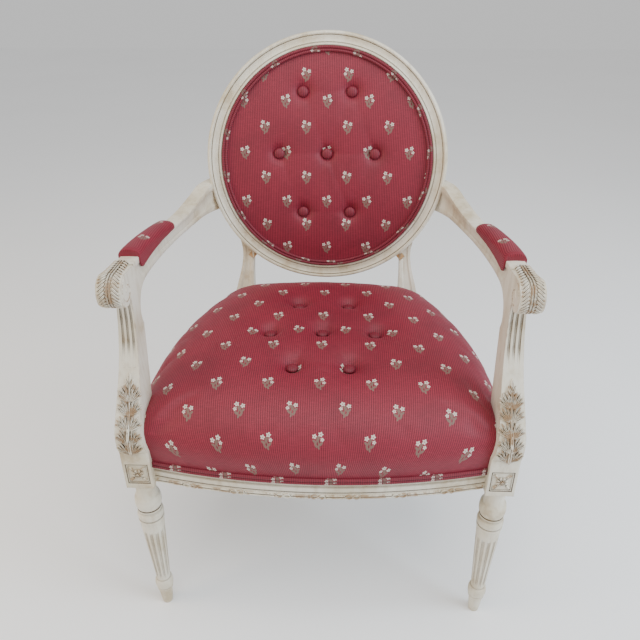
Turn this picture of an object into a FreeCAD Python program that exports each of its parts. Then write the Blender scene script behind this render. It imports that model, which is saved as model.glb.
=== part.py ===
import FreeCAD, Part
import math
import os

from FreeCAD import Vector

# Medallion-back armchair with a painted show-wood frame and tight, button-tufted upholstery.
# Millimetres. +X is the sitter's left seen from the front, +Y points to the back, +Z is up.
# The origin is on the floor, midway between the foremost and the rearmost point.

# Fits and clearances
SLIP = 0.3
TENON_SLIP = 0.25

# Front legs and the die blocks over them
leg_x = 294.5
leg_y = -280.0
die_width = 46.0
die_bottom_z = 321.0
die_top_z = 397.5
die_panel_width = 37.0
die_panel_height = 42.0
die_panel_depth = 1.8
die_panel_z = 352.0
neck_radius = 18.5
collar_radius = 22.4
shaft_top_radius = 21.0
shaft_bottom_radius = 12.4
ankle_radius = 16.4
foot_top_radius = 12.6
foot_radius = 9.0
shaft_top_z = 229.0
shaft_bottom_z = 69.0
flute_count = 12
leg_sides = 16
flute_top_z = 207.0
flute_bottom_z = 76.0
flute_depth = 2.2

# Seat rails
rail_bottom_z = 324.0
rail_show_z = 358.0
rail_top_z = 376.0
rail_thickness = 28.0
rail_rebate = 3.0
front_face_y = -322.0
front_bow_radius = 1200.0
side_widest_x = 302.0
side_widest_y = -165.0
side_radius = 640.0
rear_face_y = 203.0
rear_bow_radius = 900.0
front_corner_radius = 30.0
rear_corner_radius = 80.0

# Rear legs and stiles, in one piece
rear_leg_x = 180.0
rear_foot_x = 190.0
rear_foot_y = 262.0
rear_foot_width = 24.0
rear_foot_depth = 26.0
rear_block_width = 46.0
rear_block_depth = 40.0
rear_leg_y = 190.0
stile_foot_width = 41.0
stile_waist_width = 25.0
stile_waist_x = 172.0
stile_waist_z = 486.0
stile_top_width = 46.0
stile_top_x = 171.0
stile_top_z = 562.0
stile_depth = 30.0
stile_flute_depth = 2.0

# Medallion back: an upright ellipse bent on a cylinder that is open towards the sitter
back_y = 249.0
back_z = 721.0
back_tilt = 11.75
back_bend_radius = 909.0
back_centre_v = -15.8
back_half_width = 216.5
back_half_height = 221.5
frame_width = 28.0
frame_thickness = 31.0
frame_rebate_width = 13.0
frame_rebate_depth = 8.0
ring_step = 9.0
stile_joint_angle = 231.0

# Arms and their supports
arm_width = 29.0
arm_joint_y = -148.0
arm_joint_z = 630.0
arm_inner_x = 284.5
arm_channel_depth = 2.2
arm_steps = 12
scroll_radius = 24.5
scroll_y = -235.5
scroll_z = arm_joint_z + 26.5
scroll_outer_x = 321.5
support_top_width = 24.0
support_back_y = -223.0
support_back_z = arm_joint_z - 8.0
support_hollow_radius = 262.0
support_flute_depth = 2.4
support_flute_width = 5.0
support_flute_pitch = 7.2
support_flute_low_z = arm_joint_z - 108.0
support_flute_levels = 4
support_flute_high_z = arm_joint_z + 10.0
volute_eye_radius = 1.8

# Tenons and corner blocks
tenon_thickness = 8.0
tenon_width = 13.0
tenon_length = 26.0
block_height = 30.0
block_leg = 62.0

# Upholstery
cloth = 2.0
webbing_width = 50.0
webbing_thickness = 1.6
hessian = 1.0
welt_radius = 3.1
seat_crown_z = 497.0
seat_crown_rows = ((0, 72), (14, 50), (38, 31), (75, 17), (130, 6.5), (225, 0))
seat_middle_y = -62.0
seat_half_depth = 259.0
seat_stretches = (6, 2, 6, 3, 4, 3, 6, 2)
chord_slack = 0.9
webbing_pitch = 84.0
webbing_middle_y = -60.0
back_webbing_pitch = 110.0
back_welt_radius = 2.8
back_edge_n = -2.2
seat_bulge = 4.0
seat_button_pitch = 96.0
seat_button_row = 104.0
seat_button_y = -72.0
tuft_radius = 44.0
tuft_sides = 8
button_sides = 8
seat_tuft_depth = 17.0
back_crown = 17.0
back_flat_edge = 12.0
back_tuft_depth = 10.0
back_tuft_radius = 34.0
back_button_pitch = 98.4
back_button_row = 119.7
button_radius = 10.6
button_height = 7.0
pad_rear_y = 40.0
pad_front_y = -161.0
pad_crown = 13.0
pad_skirt = 22.0
pad_overlap = 2.4
pad_steps = 14
dust_cloth = 0.8
outer_back_cloth = 1.2

back_tilt_rad = math.radians(back_tilt)
half_die = die_width / 2
arm_joint_v = (arm_joint_z + 12 - back_z) / math.cos(back_tilt_rad) - back_centre_v
arm_joint_angle = 180 - math.degrees(math.asin(arm_joint_v / back_half_height))
nodes = {}


def keep(name, shape):
    """Hold one finished piece, or one group of like pieces, under its node's name."""
    for solid in shape.Solids:
        if not solid.isValid() or solid.Volume <= 0:
            print("check the shape of", name)
    nodes[name] = shape


def mirrored(shape):
    return shape.mirror(Vector(0, 0, 0), Vector(1, 0, 0))


def keep_pair(name, left):
    """The left piece lies on the -X side; its right-hand twin is its mirror image."""
    keep(name + "_left", left)
    keep(name + "_right", mirrored(left))


def outline(place, start, *steps):
    """A closed wire of lines and arcs. A step is the next point, or a pair: a point on the arc and its end."""
    edges = []
    here = start
    for step in steps + (start,):
        if isinstance(step[0], tuple):
            middle, end = step
            edges.append(Part.Arc(place(*here), place(*middle), place(*end)).toShape())
        else:
            end = step
            if math.dist(here, end) < 1e-6:
                continue
            edges.append(Part.LineSegment(place(*here), place(*end)).toShape())
        here = end
    return Part.Wire(edges)


def side_view(x):
    return lambda y, z: Vector(x, y, z)


def front_view(y):
    return lambda x, z: Vector(x, y, z)


def plan_view(z):
    return lambda x, y: Vector(x, y, z)


def extruded(wire, direction):
    return Part.Face(wire).extrude(direction)


def box(low, high):
    size = [b - a for a, b in zip(low, high)]
    return Part.makeBox(size[0], size[1], size[2], Vector(*low))


def rod(start, end, radius):
    axis = end - start
    return Part.makeCylinder(radius, axis.Length, start, axis)


def flat_face(points):
    return Part.Face(Part.makePolygon(points + points[:1]))


def flat_loft(rings):
    """A ruled loft in true flats, for soft forms and flutes: rings of as many points each, closed at both ends."""
    faces = [flat_face(rings[0]), flat_face(rings[-1])]
    for lower, upper in zip(rings, rings[1:]):
        for index in range(len(lower)):
            a, b = lower[index - 1], lower[index]
            c, d = upper[index], upper[index - 1]
            lean = (b - a).cross(d - a)
            if abs(lean.normalize().dot(c - a)) < 1e-8:
                faces.append(flat_face([a, b, c, d]))
            else:
                faces += [flat_face([a, b, c]), flat_face([a, c, d])]
    skin = Part.makeCompound(faces)
    skin.sewShape()
    solid = Part.makeSolid(skin.Shells[0])
    return solid if solid.Volume > 0 else solid.reversed()


def level(z, points):
    return [Vector(x, y, z) for x, y in points]


def grown_box(low, high, grow):
    return box([a - grow for a in low], [b + grow for b in high])


# Joints of the frame, all on the -X side


def rail_tenons():
    """Tenons cut on the ends of the rails and under the arm support: (piece with it, piece it enters, box)."""
    low_z = rail_bottom_z + 8
    high_z = rail_top_z - 10
    half = tenon_thickness / 2
    die_inner_x = -(leg_x - half_die)
    front_y = front_arc_y(die_inner_x) + rail_thickness / 2
    die_rear = leg_y + half_die
    side_x = side_arc_x(die_rear) + rail_thickness / 2
    block_front = rear_leg_y - rear_block_depth / 2
    block_inner_x = -(rear_leg_x - rear_block_width / 2)
    rear_side_x = -rear_leg_x - 10
    rear_y = rear_arc_y(block_inner_x) - 11

    def across(low_x, high_x, y):
        return (low_x, y - half, low_z), (high_x, y + half, high_z)

    def lengthwise(x, low_y, high_y):
        return (x - half, low_y, low_z), (x + half, high_y, high_z)

    support_low = (-leg_x - 9, leg_y - 9, die_top_z - 13)
    support_high = (-leg_x + 7, leg_y + 9, die_top_z + 1)
    return [
        ("front_rail", "front_leg", *across(die_inner_x - 17, die_inner_x + 1, front_y)),
        ("side_rail", "front_leg", *lengthwise(side_x, die_rear - 11, die_rear + 1)),
        ("side_rail", "rear_leg", *lengthwise(rear_side_x, block_front - 1, block_front + 14)),
        ("rear_rail", "rear_leg", *across(block_inner_x - 13, block_inner_x + 1, rear_y)),
        ("arm_support", "front_leg", support_low, support_high),
    ]


def loose_tenons():
    """Where two pieces meet on a slant a loose tenon joins them: (node, piece, piece, centre, along, across)."""
    found = [(
        "arm_tenons",
        "arm",
        "arm_support",
        Vector(-(arm_inner_x + arm_width / 2), arm_joint_y - 21, arm_joint_z + 21),
        Vector(0, 1, 1),
        Vector(1, 0, 0),
    )]
    for node, piece, host, angle in (
        ("arm_tenons", "arm", "back_frame_left", arm_joint_angle),
        ("stile_tenons", "rear_leg", "back_frame_bottom", stile_joint_angle),
    ):
        here, outward, front = back_axes(angle, 0)
        edge = here + outward * frame_width - front * (frame_thickness / 2 + 2)
        found.append((node, piece, host, edge, outward, outward.cross(front)))
    for angle, piece, host in (
        (142, "back_frame_top", "back_frame_left"),
        (212, "back_frame_left", "back_frame_bottom"),
    ):
        here, outward, front = back_axes(angle, frame_width / 2 - 6)
        middle = here - front * (frame_thickness / 2 + 3)
        found.append(("back_frame_tenons", piece, host, middle, outward.cross(front), outward))
    return found


def loose_tenon(centre, along, across, grow=0.0):
    """A flat tongue with half its length in each piece."""
    along = Vector(along).normalize()
    across = Vector(across).normalize()
    third = along.cross(across)
    half_length = tenon_length / 2 + grow * 2
    half_width = tenon_width / 2 + grow
    half_thick = tenon_thickness / 2 + grow
    corners = [(-half_length, -half_width), (half_length, -half_width)]
    corners += [(half_length, half_width), (-half_length, half_width)]
    base = centre - third * half_thick
    wire = outline(lambda a, b: base + along * a + across * b, *corners)
    return extruded(wire, third * (half_thick * 2))


def mortises(piece):
    """What is cut out of one piece of the left half to take its tenons."""
    found = []
    for owner, host, low, high in rail_tenons():
        if host == piece:
            found.append(grown_box(low, high, TENON_SLIP))
    for node, first, second, centre, along, across in loose_tenons():
        if piece in (first, second):
            found.append(loose_tenon(centre, along, across, TENON_SLIP))
    return found


def with_joints(piece, shape, crosses_middle=False):
    """Add a piece's own tenons and cut its mortises."""
    tenons = [box(low, high) for owner, host, low, high in rail_tenons() if owner == piece]
    holes = mortises(piece)
    if crosses_middle:
        tenons += [mirrored(t) for t in tenons]
        holes += [mirrored(h) for h in holes]
    if tenons:
        shape = shape.fuse(tenons)
    if holes:
        shape = shape.cut(holes)
    return shape


def tenon_group(wanted):
    solids = []
    for node, first, second, centre, along, across in loose_tenons():
        if node == wanted:
            left = loose_tenon(centre, along, across)
            solids += [left, mirrored(left)]
    return Part.makeCompound(solids)


# Front legs


def faceted(rows, sides):
    """A turning in flats, which keeps the facets few. Rows are (radius, height), none on the axis."""
    turns = [2 * math.pi * k / sides for k in range(sides)]
    return flat_loft([level(z, [(radius * math.cos(t), radius * math.sin(t)) for t in turns]) for radius, z in rows])


def bead(radius, low, high, swell, parts=3):
    """A half-round swelling of a turning, as short straight facets."""
    rows = []
    for index in range(parts + 1):
        turn = math.pi * index / parts
        rise = (high - low) * (1 - math.cos(turn)) / 2
        rows.append((radius + swell * math.sin(turn), low + rise))
    return rows


def foot_turning():
    """The tapered foot and the ankle ring."""
    ring_low = shaft_bottom_z - 24
    rows = [(foot_radius, 0), (foot_top_radius, ring_low - 5), (ankle_radius - 2, ring_low - 3)]
    rows += bead(ankle_radius - 3, ring_low, shaft_bottom_z, 3)
    return faceted(rows, leg_sides)


def collar_turning():
    """The two rings and the waisted neck under the die."""
    low = shaft_top_z
    rows = [(shaft_top_radius, low), (collar_radius - 1.4, low + 3)]
    rows += bead(collar_radius - 2.4, low + 6, low + 22, 2.6)
    rows += [(collar_radius - 3.4, low + 24), (collar_radius - 2, low + 26), (collar_radius - 2, low + 29)]
    rows += bead(collar_radius - 3.6, low + 30, low + 58, 3.8, 4)
    rows += [(neck_radius, low + 60), (neck_radius - 0.8, low + 76), (neck_radius + 1, die_bottom_z + 0.5)]
    return faceted(rows, leg_sides)


def shaft_section(z, depth):
    """The shaft at one height: flat ribs with tapering flutes between them."""
    share = (z - shaft_bottom_z) / (shaft_top_z - shaft_bottom_z)
    radius = shaft_bottom_radius + (shaft_top_radius - shaft_bottom_radius) * share
    pitch = 2 * math.pi / flute_count
    points = []
    for index in range(flute_count):
        middle = pitch * index
        for offset, sink in ((-0.32, 0), (-0.14, depth), (0.14, depth), (0.32, 0)):
            turn = middle + pitch * offset
            reach = radius - sink
            points.append((reach * math.cos(turn), reach * math.sin(turn)))
    return level(z, points)


def fluted_shaft():
    levels = [
        (shaft_bottom_z, 0),
        (flute_bottom_z, 0.1),
        (flute_bottom_z + 5, flute_depth * 0.6),
        (flute_top_z - 5, flute_depth),
        (flute_top_z, 0.1),
        (shaft_top_z, 0),
    ]
    return flat_loft([shaft_section(z, depth) for z, depth in levels])


def front_leg():
    """Turned and fluted below, with the square die for the rails on top, all from one piece."""
    die = box((-half_die, -half_die, die_bottom_z), (half_die, half_die, die_top_z))
    half_panel = die_panel_width / 2
    low_z = die_panel_z - die_panel_height / 2
    high_z = die_panel_z + die_panel_height / 2
    front_panel = box((-half_panel, -half_die - 1, low_z), (half_panel, -half_die + die_panel_depth, high_z))
    side_panel = box((-half_die - 1, -half_panel, low_z), (-half_die + die_panel_depth, half_panel, high_z))
    leg = die.cut(front_panel).cut(side_panel)
    leg = leg.fuse(collar_turning()).fuse(fluted_shaft()).fuse(foot_turning())
    leg.translate(Vector(-leg_x, leg_y, 0))
    return with_joints("front_leg", leg)


def smooth_curves(rows):
    """One smooth curve for each column of sizes, over the first column."""
    curves = []
    for column in range(1, len(rows[0])):
        curve = Part.BSplineCurve()
        curve.interpolate([Vector(row[0], row[column], 0) for row in rows])
        curves.append(curve)
    return curves


def smooth_rows(rows, count):
    """Rows of sizes along a piece, read off smooth curves through the given rows at even steps of the first."""
    curves = smooth_curves(rows)
    low, high = rows[0][0], rows[-1][0]
    found = []
    for index in range(count + 1):
        here = low + (high - low) * index / count
        row = [here]
        for curve in curves:
            row.append(value_at(curve, here))
        found.append(tuple(row))
    return found


def value_at(curve, x):
    """The height of a curve over x, found by halving."""
    low, high = curve.FirstParameter, curve.LastParameter
    rising = curve.value(high).x > curve.value(low).x
    for _ in range(40):
        middle = (low + high) / 2
        if (curve.value(middle).x < x) == rising:
            low = middle
        else:
            high = middle
    return curve.value(low).y


# Seat plan


def meet(circle_a, circle_b, pick):
    """The crossing of two circles, each (x, y, radius), that `pick` prefers."""
    ax, ay, ar = circle_a
    bx, by, br = circle_b
    gap = math.dist((ax, ay), (bx, by))
    along = (ar * ar - br * br + gap * gap) / (2 * gap)
    off = math.sqrt(max(ar * ar - along * along, 0))
    ux, uy = (bx - ax) / gap, (by - ay) / gap
    mx, my = ax + ux * along, ay + uy * along
    both = [(mx - uy * off, my + ux * off), (mx + uy * off, my - ux * off)]
    return max(both, key=pick)


front_circle = (0.0, front_face_y + front_bow_radius, front_bow_radius)
rear_circle = (0.0, rear_face_y - rear_bow_radius, rear_bow_radius)
left_circle = (side_radius - side_widest_x, side_widest_y, side_radius)


def towards(centre, point, radius):
    """The point at `radius` from a centre, on the line through another point."""
    cx, cy = centre[0], centre[1]
    span = math.dist((cx, cy), point)
    return cx + (point[0] - cx) * radius / span, cy + (point[1] - cy) * radius / span


def seat_arcs(out):
    """The seat's outline, `out` mm outside the rails' faces: a start, then arcs that are tangent at the corners."""
    front_r = front_circle[2] + out
    rear_r = rear_circle[2] + out
    side_r = left_circle[2] + out
    corner_a = front_corner_radius
    corner_b = rear_corner_radius
    centre_a = meet(
        (front_circle[0], front_circle[1], front_r - corner_a),
        (left_circle[0], left_circle[1], side_r - corner_a),
        lambda p: -p[1],
    )
    centre_b = meet(
        (rear_circle[0], rear_circle[1], rear_r - corner_b),
        (left_circle[0], left_circle[1], side_r - corner_b),
        lambda p: -p[0],
    )
    front_end = towards(front_circle, centre_a, front_r)
    side_front = towards(left_circle, centre_a, side_r)
    side_rear = towards(left_circle, centre_b, side_r)
    rear_end = towards(rear_circle, centre_b, rear_r)

    def corner_mid(centre, a, b, radius):
        middle = ((a[0] + b[0]) / 2, (a[1] + b[1]) / 2)
        return towards(centre, middle, radius)

    mid_a = corner_mid(centre_a, front_end, side_front, corner_a)
    mid_b = corner_mid(centre_b, side_rear, rear_end, corner_b)
    side_mid_y = (side_front[1] + side_rear[1]) / 2
    side_mid = towards(left_circle, (side_front[0], side_mid_y), side_r)
    flip = lambda p: (-p[0], p[1])
    return [
        flip(front_end),
        ((0.0, front_circle[1] - front_r), front_end),
        (mid_a, side_front),
        (side_mid, side_rear),
        (mid_b, rear_end),
        ((0.0, rear_circle[1] + rear_r), flip(rear_end)),
        (flip(mid_b), flip(side_rear)),
        (flip(side_mid), flip(side_front)),
        (flip(mid_a), flip(front_end)),
    ]


def seat_plan(out, z):
    return outline(plan_view(z), *seat_arcs(out))


def seat_points(out):
    """The same outline as short straight stretches; inside the rails it shrinks towards the seat's middle."""
    place = plan_view(0)
    here, *steps = seat_arcs(max(out, -rail_rebate))
    scale = 1 + min(out + rail_rebate, 0) / seat_half_depth
    points = []
    for (middle, end), count in zip(steps, seat_stretches):
        arc = Part.Arc(place(*here), place(*middle), place(*end)).toShape()
        for point in arc.discretize(Number=count + 1)[:-1]:
            points.append((point.x * scale, seat_middle_y + (point.y - seat_middle_y) * scale))
        here = end
    return points


def front_arc_y(x):
    return front_circle[1] - math.sqrt(front_circle[2] ** 2 - x * x)


def rear_arc_y(x):
    return rear_circle[1] + math.sqrt(rear_circle[2] ** 2 - x * x)


def side_arc_x(y):
    return left_circle[0] - math.sqrt(left_circle[2] ** 2 - (y - left_circle[1]) ** 2)


def seat_ring(outer, inner, low_z, high_z):
    """A band that follows the seat's outline between two offsets and two heights."""
    whole = extruded(seat_plan(outer, low_z), Vector(0, 0, high_z - low_z))
    core = extruded(seat_plan(inner, low_z - 1), Vector(0, 0, high_z - low_z + 2))
    return whole.cut(core)


# Rails


def front_rail_section():
    """The moulded face: bottom bead with the ribbon band, groove, broad band, channel, top fillet, rebate."""
    place = front_view(0)
    out = front_bow_radius
    inner = out - rail_thickness
    rebate = out - rail_rebate
    band_top = rail_bottom_z + 13
    channel = rail_bottom_z + 23
    return outline(
        place,
        (inner, rail_bottom_z),
        (out - 1.5, rail_bottom_z),
        (out, rail_bottom_z + 2),
        (out, band_top - 1),
        (out - 2.4, band_top + 0.5),
        (out - 1.2, band_top + 2),
        (out - 1.2, channel),
        (out - 3.6, channel + 2),
        (out - 3.6, channel + 5),
        (out - 1, channel + 7),
        (out - 1, rail_show_z),
        (rebate, rail_show_z),
        (rebate, rail_top_z),
        (inner, rail_top_z),
    )


def front_rail():
    """Bowed in plan: its section turned about the bow's centre and cut off square to the dies."""
    section = Part.Face(front_rail_section())
    half_angle = 20
    section.rotate(Vector(0, 0, 0), Vector(0, 0, 1), -90 - half_angle)
    bowed = section.revolve(Vector(0, 0, 0), Vector(0, 0, 1), 2 * half_angle)
    bowed.translate(Vector(0, front_circle[1], 0))
    half = leg_x - half_die
    rail = bowed.common(box((-half, front_face_y - 20, 0), (half, leg_y + 60, 500)))
    return with_joints("front_rail", rail, True)


def side_rail_left():
    """A curved rail from the die to the rear leg, moulded on its outer face like the front rail."""
    body = seat_ring(0, -rail_thickness, rail_bottom_z, rail_top_z)
    body = body.cut(seat_ring(5, -rail_rebate, rail_show_z, rail_top_z + 1))
    low_y = leg_y + half_die
    high_y = rear_leg_y - rear_block_depth / 2
    rail = body.common(box((-400, low_y, 0), (-(rear_leg_x - rear_block_width / 2), high_y, 500)))
    return with_joints("side_rail", rail)


def rear_rail():
    """Between the rear legs, curved like the back of the seat."""
    body = seat_ring(0, -rail_thickness + 6, rail_bottom_z, rail_top_z)
    body = body.cut(seat_ring(5, -rail_rebate, rail_show_z, rail_top_z + 1))
    half = rear_leg_x - rear_block_width / 2
    rail = body.common(box((-half, 0, 0), (half, 400, 500)))
    return with_joints("rear_rail", rail, True)


def corner_blocks():
    """Triangular blocks glued and screwed across the four corners of the seat frame; the left pair is returned."""
    low_z = rail_bottom_z + 8
    inner_x = -(leg_x - half_die) + SLIP
    front_y = front_arc_y(0) + rail_thickness + 10
    inside = extruded(seat_plan(-rail_thickness - SLIP, low_z), Vector(0, 0, block_height))
    keep_out = box((-400, -400, 0), (inner_x, leg_y + half_die + SLIP, 500))
    front = outline(
        plan_view(low_z),
        (-400, -400),
        (inner_x + block_leg, -400),
        (inner_x + block_leg, front_y),
        (inner_x - 20, front_y + block_leg + 24),
        (-400, front_y + block_leg + 24),
    )
    front = inside.common(extruded(front, Vector(0, 0, block_height))).cut(keep_out)
    block_x = -(rear_leg_x - rear_block_width / 2) + SLIP
    block_y = rear_leg_y - rear_block_depth / 2 - SLIP
    rear = outline(
        plan_view(low_z),
        (-400, 400),
        (block_x + block_leg, 400),
        (block_x + block_leg, block_y - 16),
        (block_x - 10, block_y - block_leg - 10),
        (-400, block_y - block_leg - 10),
    )
    keep_out = box((-400, block_y, 0), (block_x, 400, 500))
    rear = inside.common(extruded(rear, Vector(0, 0, block_height))).cut(keep_out)
    return front, rear


# Rear legs


def rear_leg_section(z, centre_x, front_y, width, depth, flute):
    """One level of the rear leg: a rectangle with a shallow flute between two beads on its front face."""
    low_x, high_x = -centre_x - width / 2, -centre_x + width / 2
    bead = width * 0.2
    slope = width * 0.12
    return outline(
        plan_view(z),
        (low_x, front_y + depth),
        (low_x, front_y),
        (low_x + bead, front_y),
        (low_x + bead + slope, front_y + flute),
        (high_x - bead - slope, front_y + flute),
        (high_x - bead, front_y),
        (high_x, front_y),
        (high_x, front_y + depth),
    )


def back_line_y(z):
    """The front of the back's plane at a height, on its own slope."""
    return back_y + (z - back_z) * math.tan(back_tilt_rad)


def rear_leg():
    """Leg, block and stile in one piece: raked below the seat, waisted above it."""
    block_front = rear_leg_y - rear_block_depth / 2
    seat_z = rail_top_z
    leg_rows = [
        (0, rear_foot_x, rear_foot_y - rear_foot_depth / 2, rear_foot_width, rear_foot_depth, 0.1),
        (110, rear_foot_x - 3, rear_foot_y - 42, rear_foot_width + 5, rear_foot_depth + 4, 0.1),
        (220, rear_leg_x + 3, block_front + 8, rear_block_width - 8, rear_block_depth - 4, 0.1),
        (rail_bottom_z, rear_leg_x, block_front, rear_block_width, rear_block_depth, 0.1),
    ]
    stile_rows = [
        (seat_z, rear_leg_x, block_front, rear_block_width, rear_block_depth, stile_flute_depth),
        (seat_z + 50, rear_leg_x, back_line_y(seat_z + 50) - 1, stile_foot_width, stile_depth + 2, stile_flute_depth),
        (stile_waist_z, stile_waist_x, back_line_y(stile_waist_z), stile_waist_width, stile_depth, stile_flute_depth),
        (stile_top_z, stile_top_x, back_line_y(stile_top_z) - 2, stile_top_width, stile_depth, stile_flute_depth),
    ]
    lower = [rear_leg_section(*row) for row in smooth_rows(leg_rows, 6)]
    upper = [rear_leg_section(*row) for row in smooth_rows(stile_rows, 10)]
    block_low = rear_leg_section(*leg_rows[-1])
    block_high = rear_leg_section(*(stile_rows[0][:-1] + (0.1,)))
    leg = Part.makeLoft(lower, True, True)
    block = Part.makeLoft([block_low, block_high], True, True)
    stile = Part.makeLoft(upper, True, True)
    leg = leg.fuse(block).fuse(stile).cut(frame_envelope())
    return with_joints("rear_leg", leg)


# Medallion frame


def back_point(u, v, n):
    """A point of the back: u to the right, v up the slope, n out of the hollow face towards the sitter."""
    turn = u / back_bend_radius
    right = Vector(1, 0, 0)
    up = Vector(0, math.sin(back_tilt_rad), math.cos(back_tilt_rad))
    front = Vector(0, -math.cos(back_tilt_rad), math.sin(back_tilt_rad))
    axis = Vector(0, back_y, back_z) + front * back_bend_radius
    spoke = front * math.cos(turn) - right * math.sin(turn)
    return axis - spoke * (back_bend_radius - n) + up * v


def back_axes(angle, out):
    """Place on the medallion's ellipse, moved `out` mm along its normal, with the outward and front directions."""
    turn = math.radians(angle)
    a = back_half_width
    b = back_half_height
    u = a * math.cos(turn)
    v = back_centre_v + b * math.sin(turn)
    nu, nv = math.cos(turn) / a, math.sin(turn) / b
    size = math.hypot(nu, nv)
    nu, nv = nu / size, nv / size
    here = back_point(u, v, 0)
    front = (back_point(u, v, 1) - here).normalize()
    outward = back_point(u + nu, v + nv, 0) - back_point(u - nu, v - nv, 0)
    outward = (outward - front * outward.dot(front)).normalize()
    return here + outward * out, outward, front


def ring_station(angle, section):
    """The section wire of a ring at one angle; `section` maps a placing function to a wire."""
    here, outward, front = back_axes(angle, 0)
    return section(lambda r, n: here + outward * r + front * n)


def ring_part(low, high, section, step=ring_step):
    """A stretch of a ring: its section lofted through stations round the medallion."""
    count = max(2, round((high - low) / step))
    stations = [ring_station(low + (high - low) * i / count, section) for i in range(count + 1)]
    return Part.makeLoft(stations, True, True)


def whole_ring(section, step=ring_step):
    """A closed ring, made of two halves that are fused end to end."""
    halves = [ring_part(90, 270, section, step), ring_part(270, 450, section, step)]
    return halves[0].fuse(halves[1])


def frame_section(place):
    """Outer bead, shallow cove, inner bead and the rebate that the upholstery sits in."""
    width = frame_width
    deep = -frame_thickness
    seat = -frame_rebate_depth
    return outline(
        place,
        (-frame_rebate_width, deep),
        (-frame_rebate_width, seat),
        (0, seat),
        (0, -1.5),
        (2.4, 0),
        (5, -1),
        (6.4, -3.6),
        (width - 11, -4.4),
        (width - 7.4, -2.6),
        (width - 5, 0),
        (width - 1.6, -1.4),
        (width, -6),
        (width - 1.5, deep),
    )


def frame_envelope_section(place):
    return outline(
        place,
        (-back_half_width / 2, -frame_thickness - 30),
        (-back_half_width / 2, 30),
        (frame_width + SLIP + 0.4, 30),
        (frame_width + SLIP + 0.4, -frame_thickness - 30),
    )


envelope_cache = []


def frame_envelope():
    """What the arms and stiles are cut back to, so that they seat on the medallion's edge."""
    if not envelope_cache:
        envelope_cache.append(whole_ring(frame_envelope_section, ring_step / 2))
    return envelope_cache[0]


# Arms


arm_line = [
    # y, inner face x, then the top and the underside as heights over the joint with the support
    (252.0, -212.0, 38.0, -24.0),
    (199.0, -238.0, 37.0, -19.0),
    (166.0, -249.5, 26.0, -16.5),
    (129.0, -259.0, 18.0, -16.0),
    (95.0, -266.5, 14.0, -15.5),
    (40.0, -275.0, 16.0, -12.0),
    (-30.0, -281.5, 27.0, -7.0),
    (-100.0, -arm_inner_x, 38.0, -2.0),
    (-160.0, -arm_inner_x, 45.5, 0.5),
    (-215.0, -arm_inner_x, 47.5, 1.0),
]


def arm_frames(line):
    """Each arm station with its place and the direction across the arm, pointing outwards."""
    found = []
    for index, (y, x, top, low) in enumerate(line):
        before = line[max(index - 1, 0)]
        after = line[min(index + 1, len(line) - 1)]
        run = Vector(after[1] - before[1], after[0] - before[0], 0).normalize()
        across = Vector(run.y, -run.x, 0)
        if across.x > 0:
            across = across * -1
        found.append((Vector(x, y, 0), across, arm_joint_z + top, arm_joint_z + low))
    return found


def arm_stations():
    return arm_frames(smooth_rows(arm_line, arm_steps))


def arm_section(station):
    """A flat-topped bar with a shallow channel along its inner side."""
    here, across, top, low = station
    channel_top = top - (top - low) * 0.25
    channel_low = low + (top - low) * 0.25
    return outline(
        lambda a, z: here + across * a + Vector(0, 0, z),
        (0, low),
        (0, channel_low - 1.5),
        (arm_channel_depth, channel_low + 1.5),
        (arm_channel_depth, channel_top - 1.5),
        (0, channel_top + 1.5),
        (0, top),
        (arm_width, top),
        (arm_width, low),
    )


def joint_block(ahead):
    """The half space in front of the slanting joint between the arm and the scroll (or behind it)."""
    corner = (arm_joint_y, arm_joint_z)
    reach = 120
    far = (-1 if ahead else 1) * 200
    y0, z0 = corner
    wire = outline(
        side_view(-400),
        (y0 + reach, z0 - reach),
        (y0 - reach, z0 + reach),
        (y0 - reach + far, z0 + reach),
        (y0 + reach + far, z0 - reach),
    )
    return extruded(wire, Vector(400, 0, 0))


def behind_back():
    """All that lies behind the medallion's rear face at the arm's joint."""
    here, outward, front = back_axes(arm_joint_angle, 0)
    corner = here - front * frame_thickness
    along = outward.cross(front)
    reach = 150
    wire = outline(
        lambda a, b: corner + outward * a + along * b,
        (-reach, -reach),
        (reach, -reach),
        (reach, reach),
        (-reach, reach),
    )
    return extruded(wire, front * -reach)


def arm():
    body = Part.makeLoft([arm_section(s) for s in arm_stations()], True, True)
    body = body.cut(joint_block(True)).cut(behind_back())
    return with_joints("arm", body.cut(frame_envelope()))


def support_front_y(z):
    """The hollow of the support's front, an arc that is furthest back at the scroll."""
    return support_back_y - support_hollow_radius + math.sqrt(support_hollow_radius**2 - (support_back_z - z) ** 2)


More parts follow.
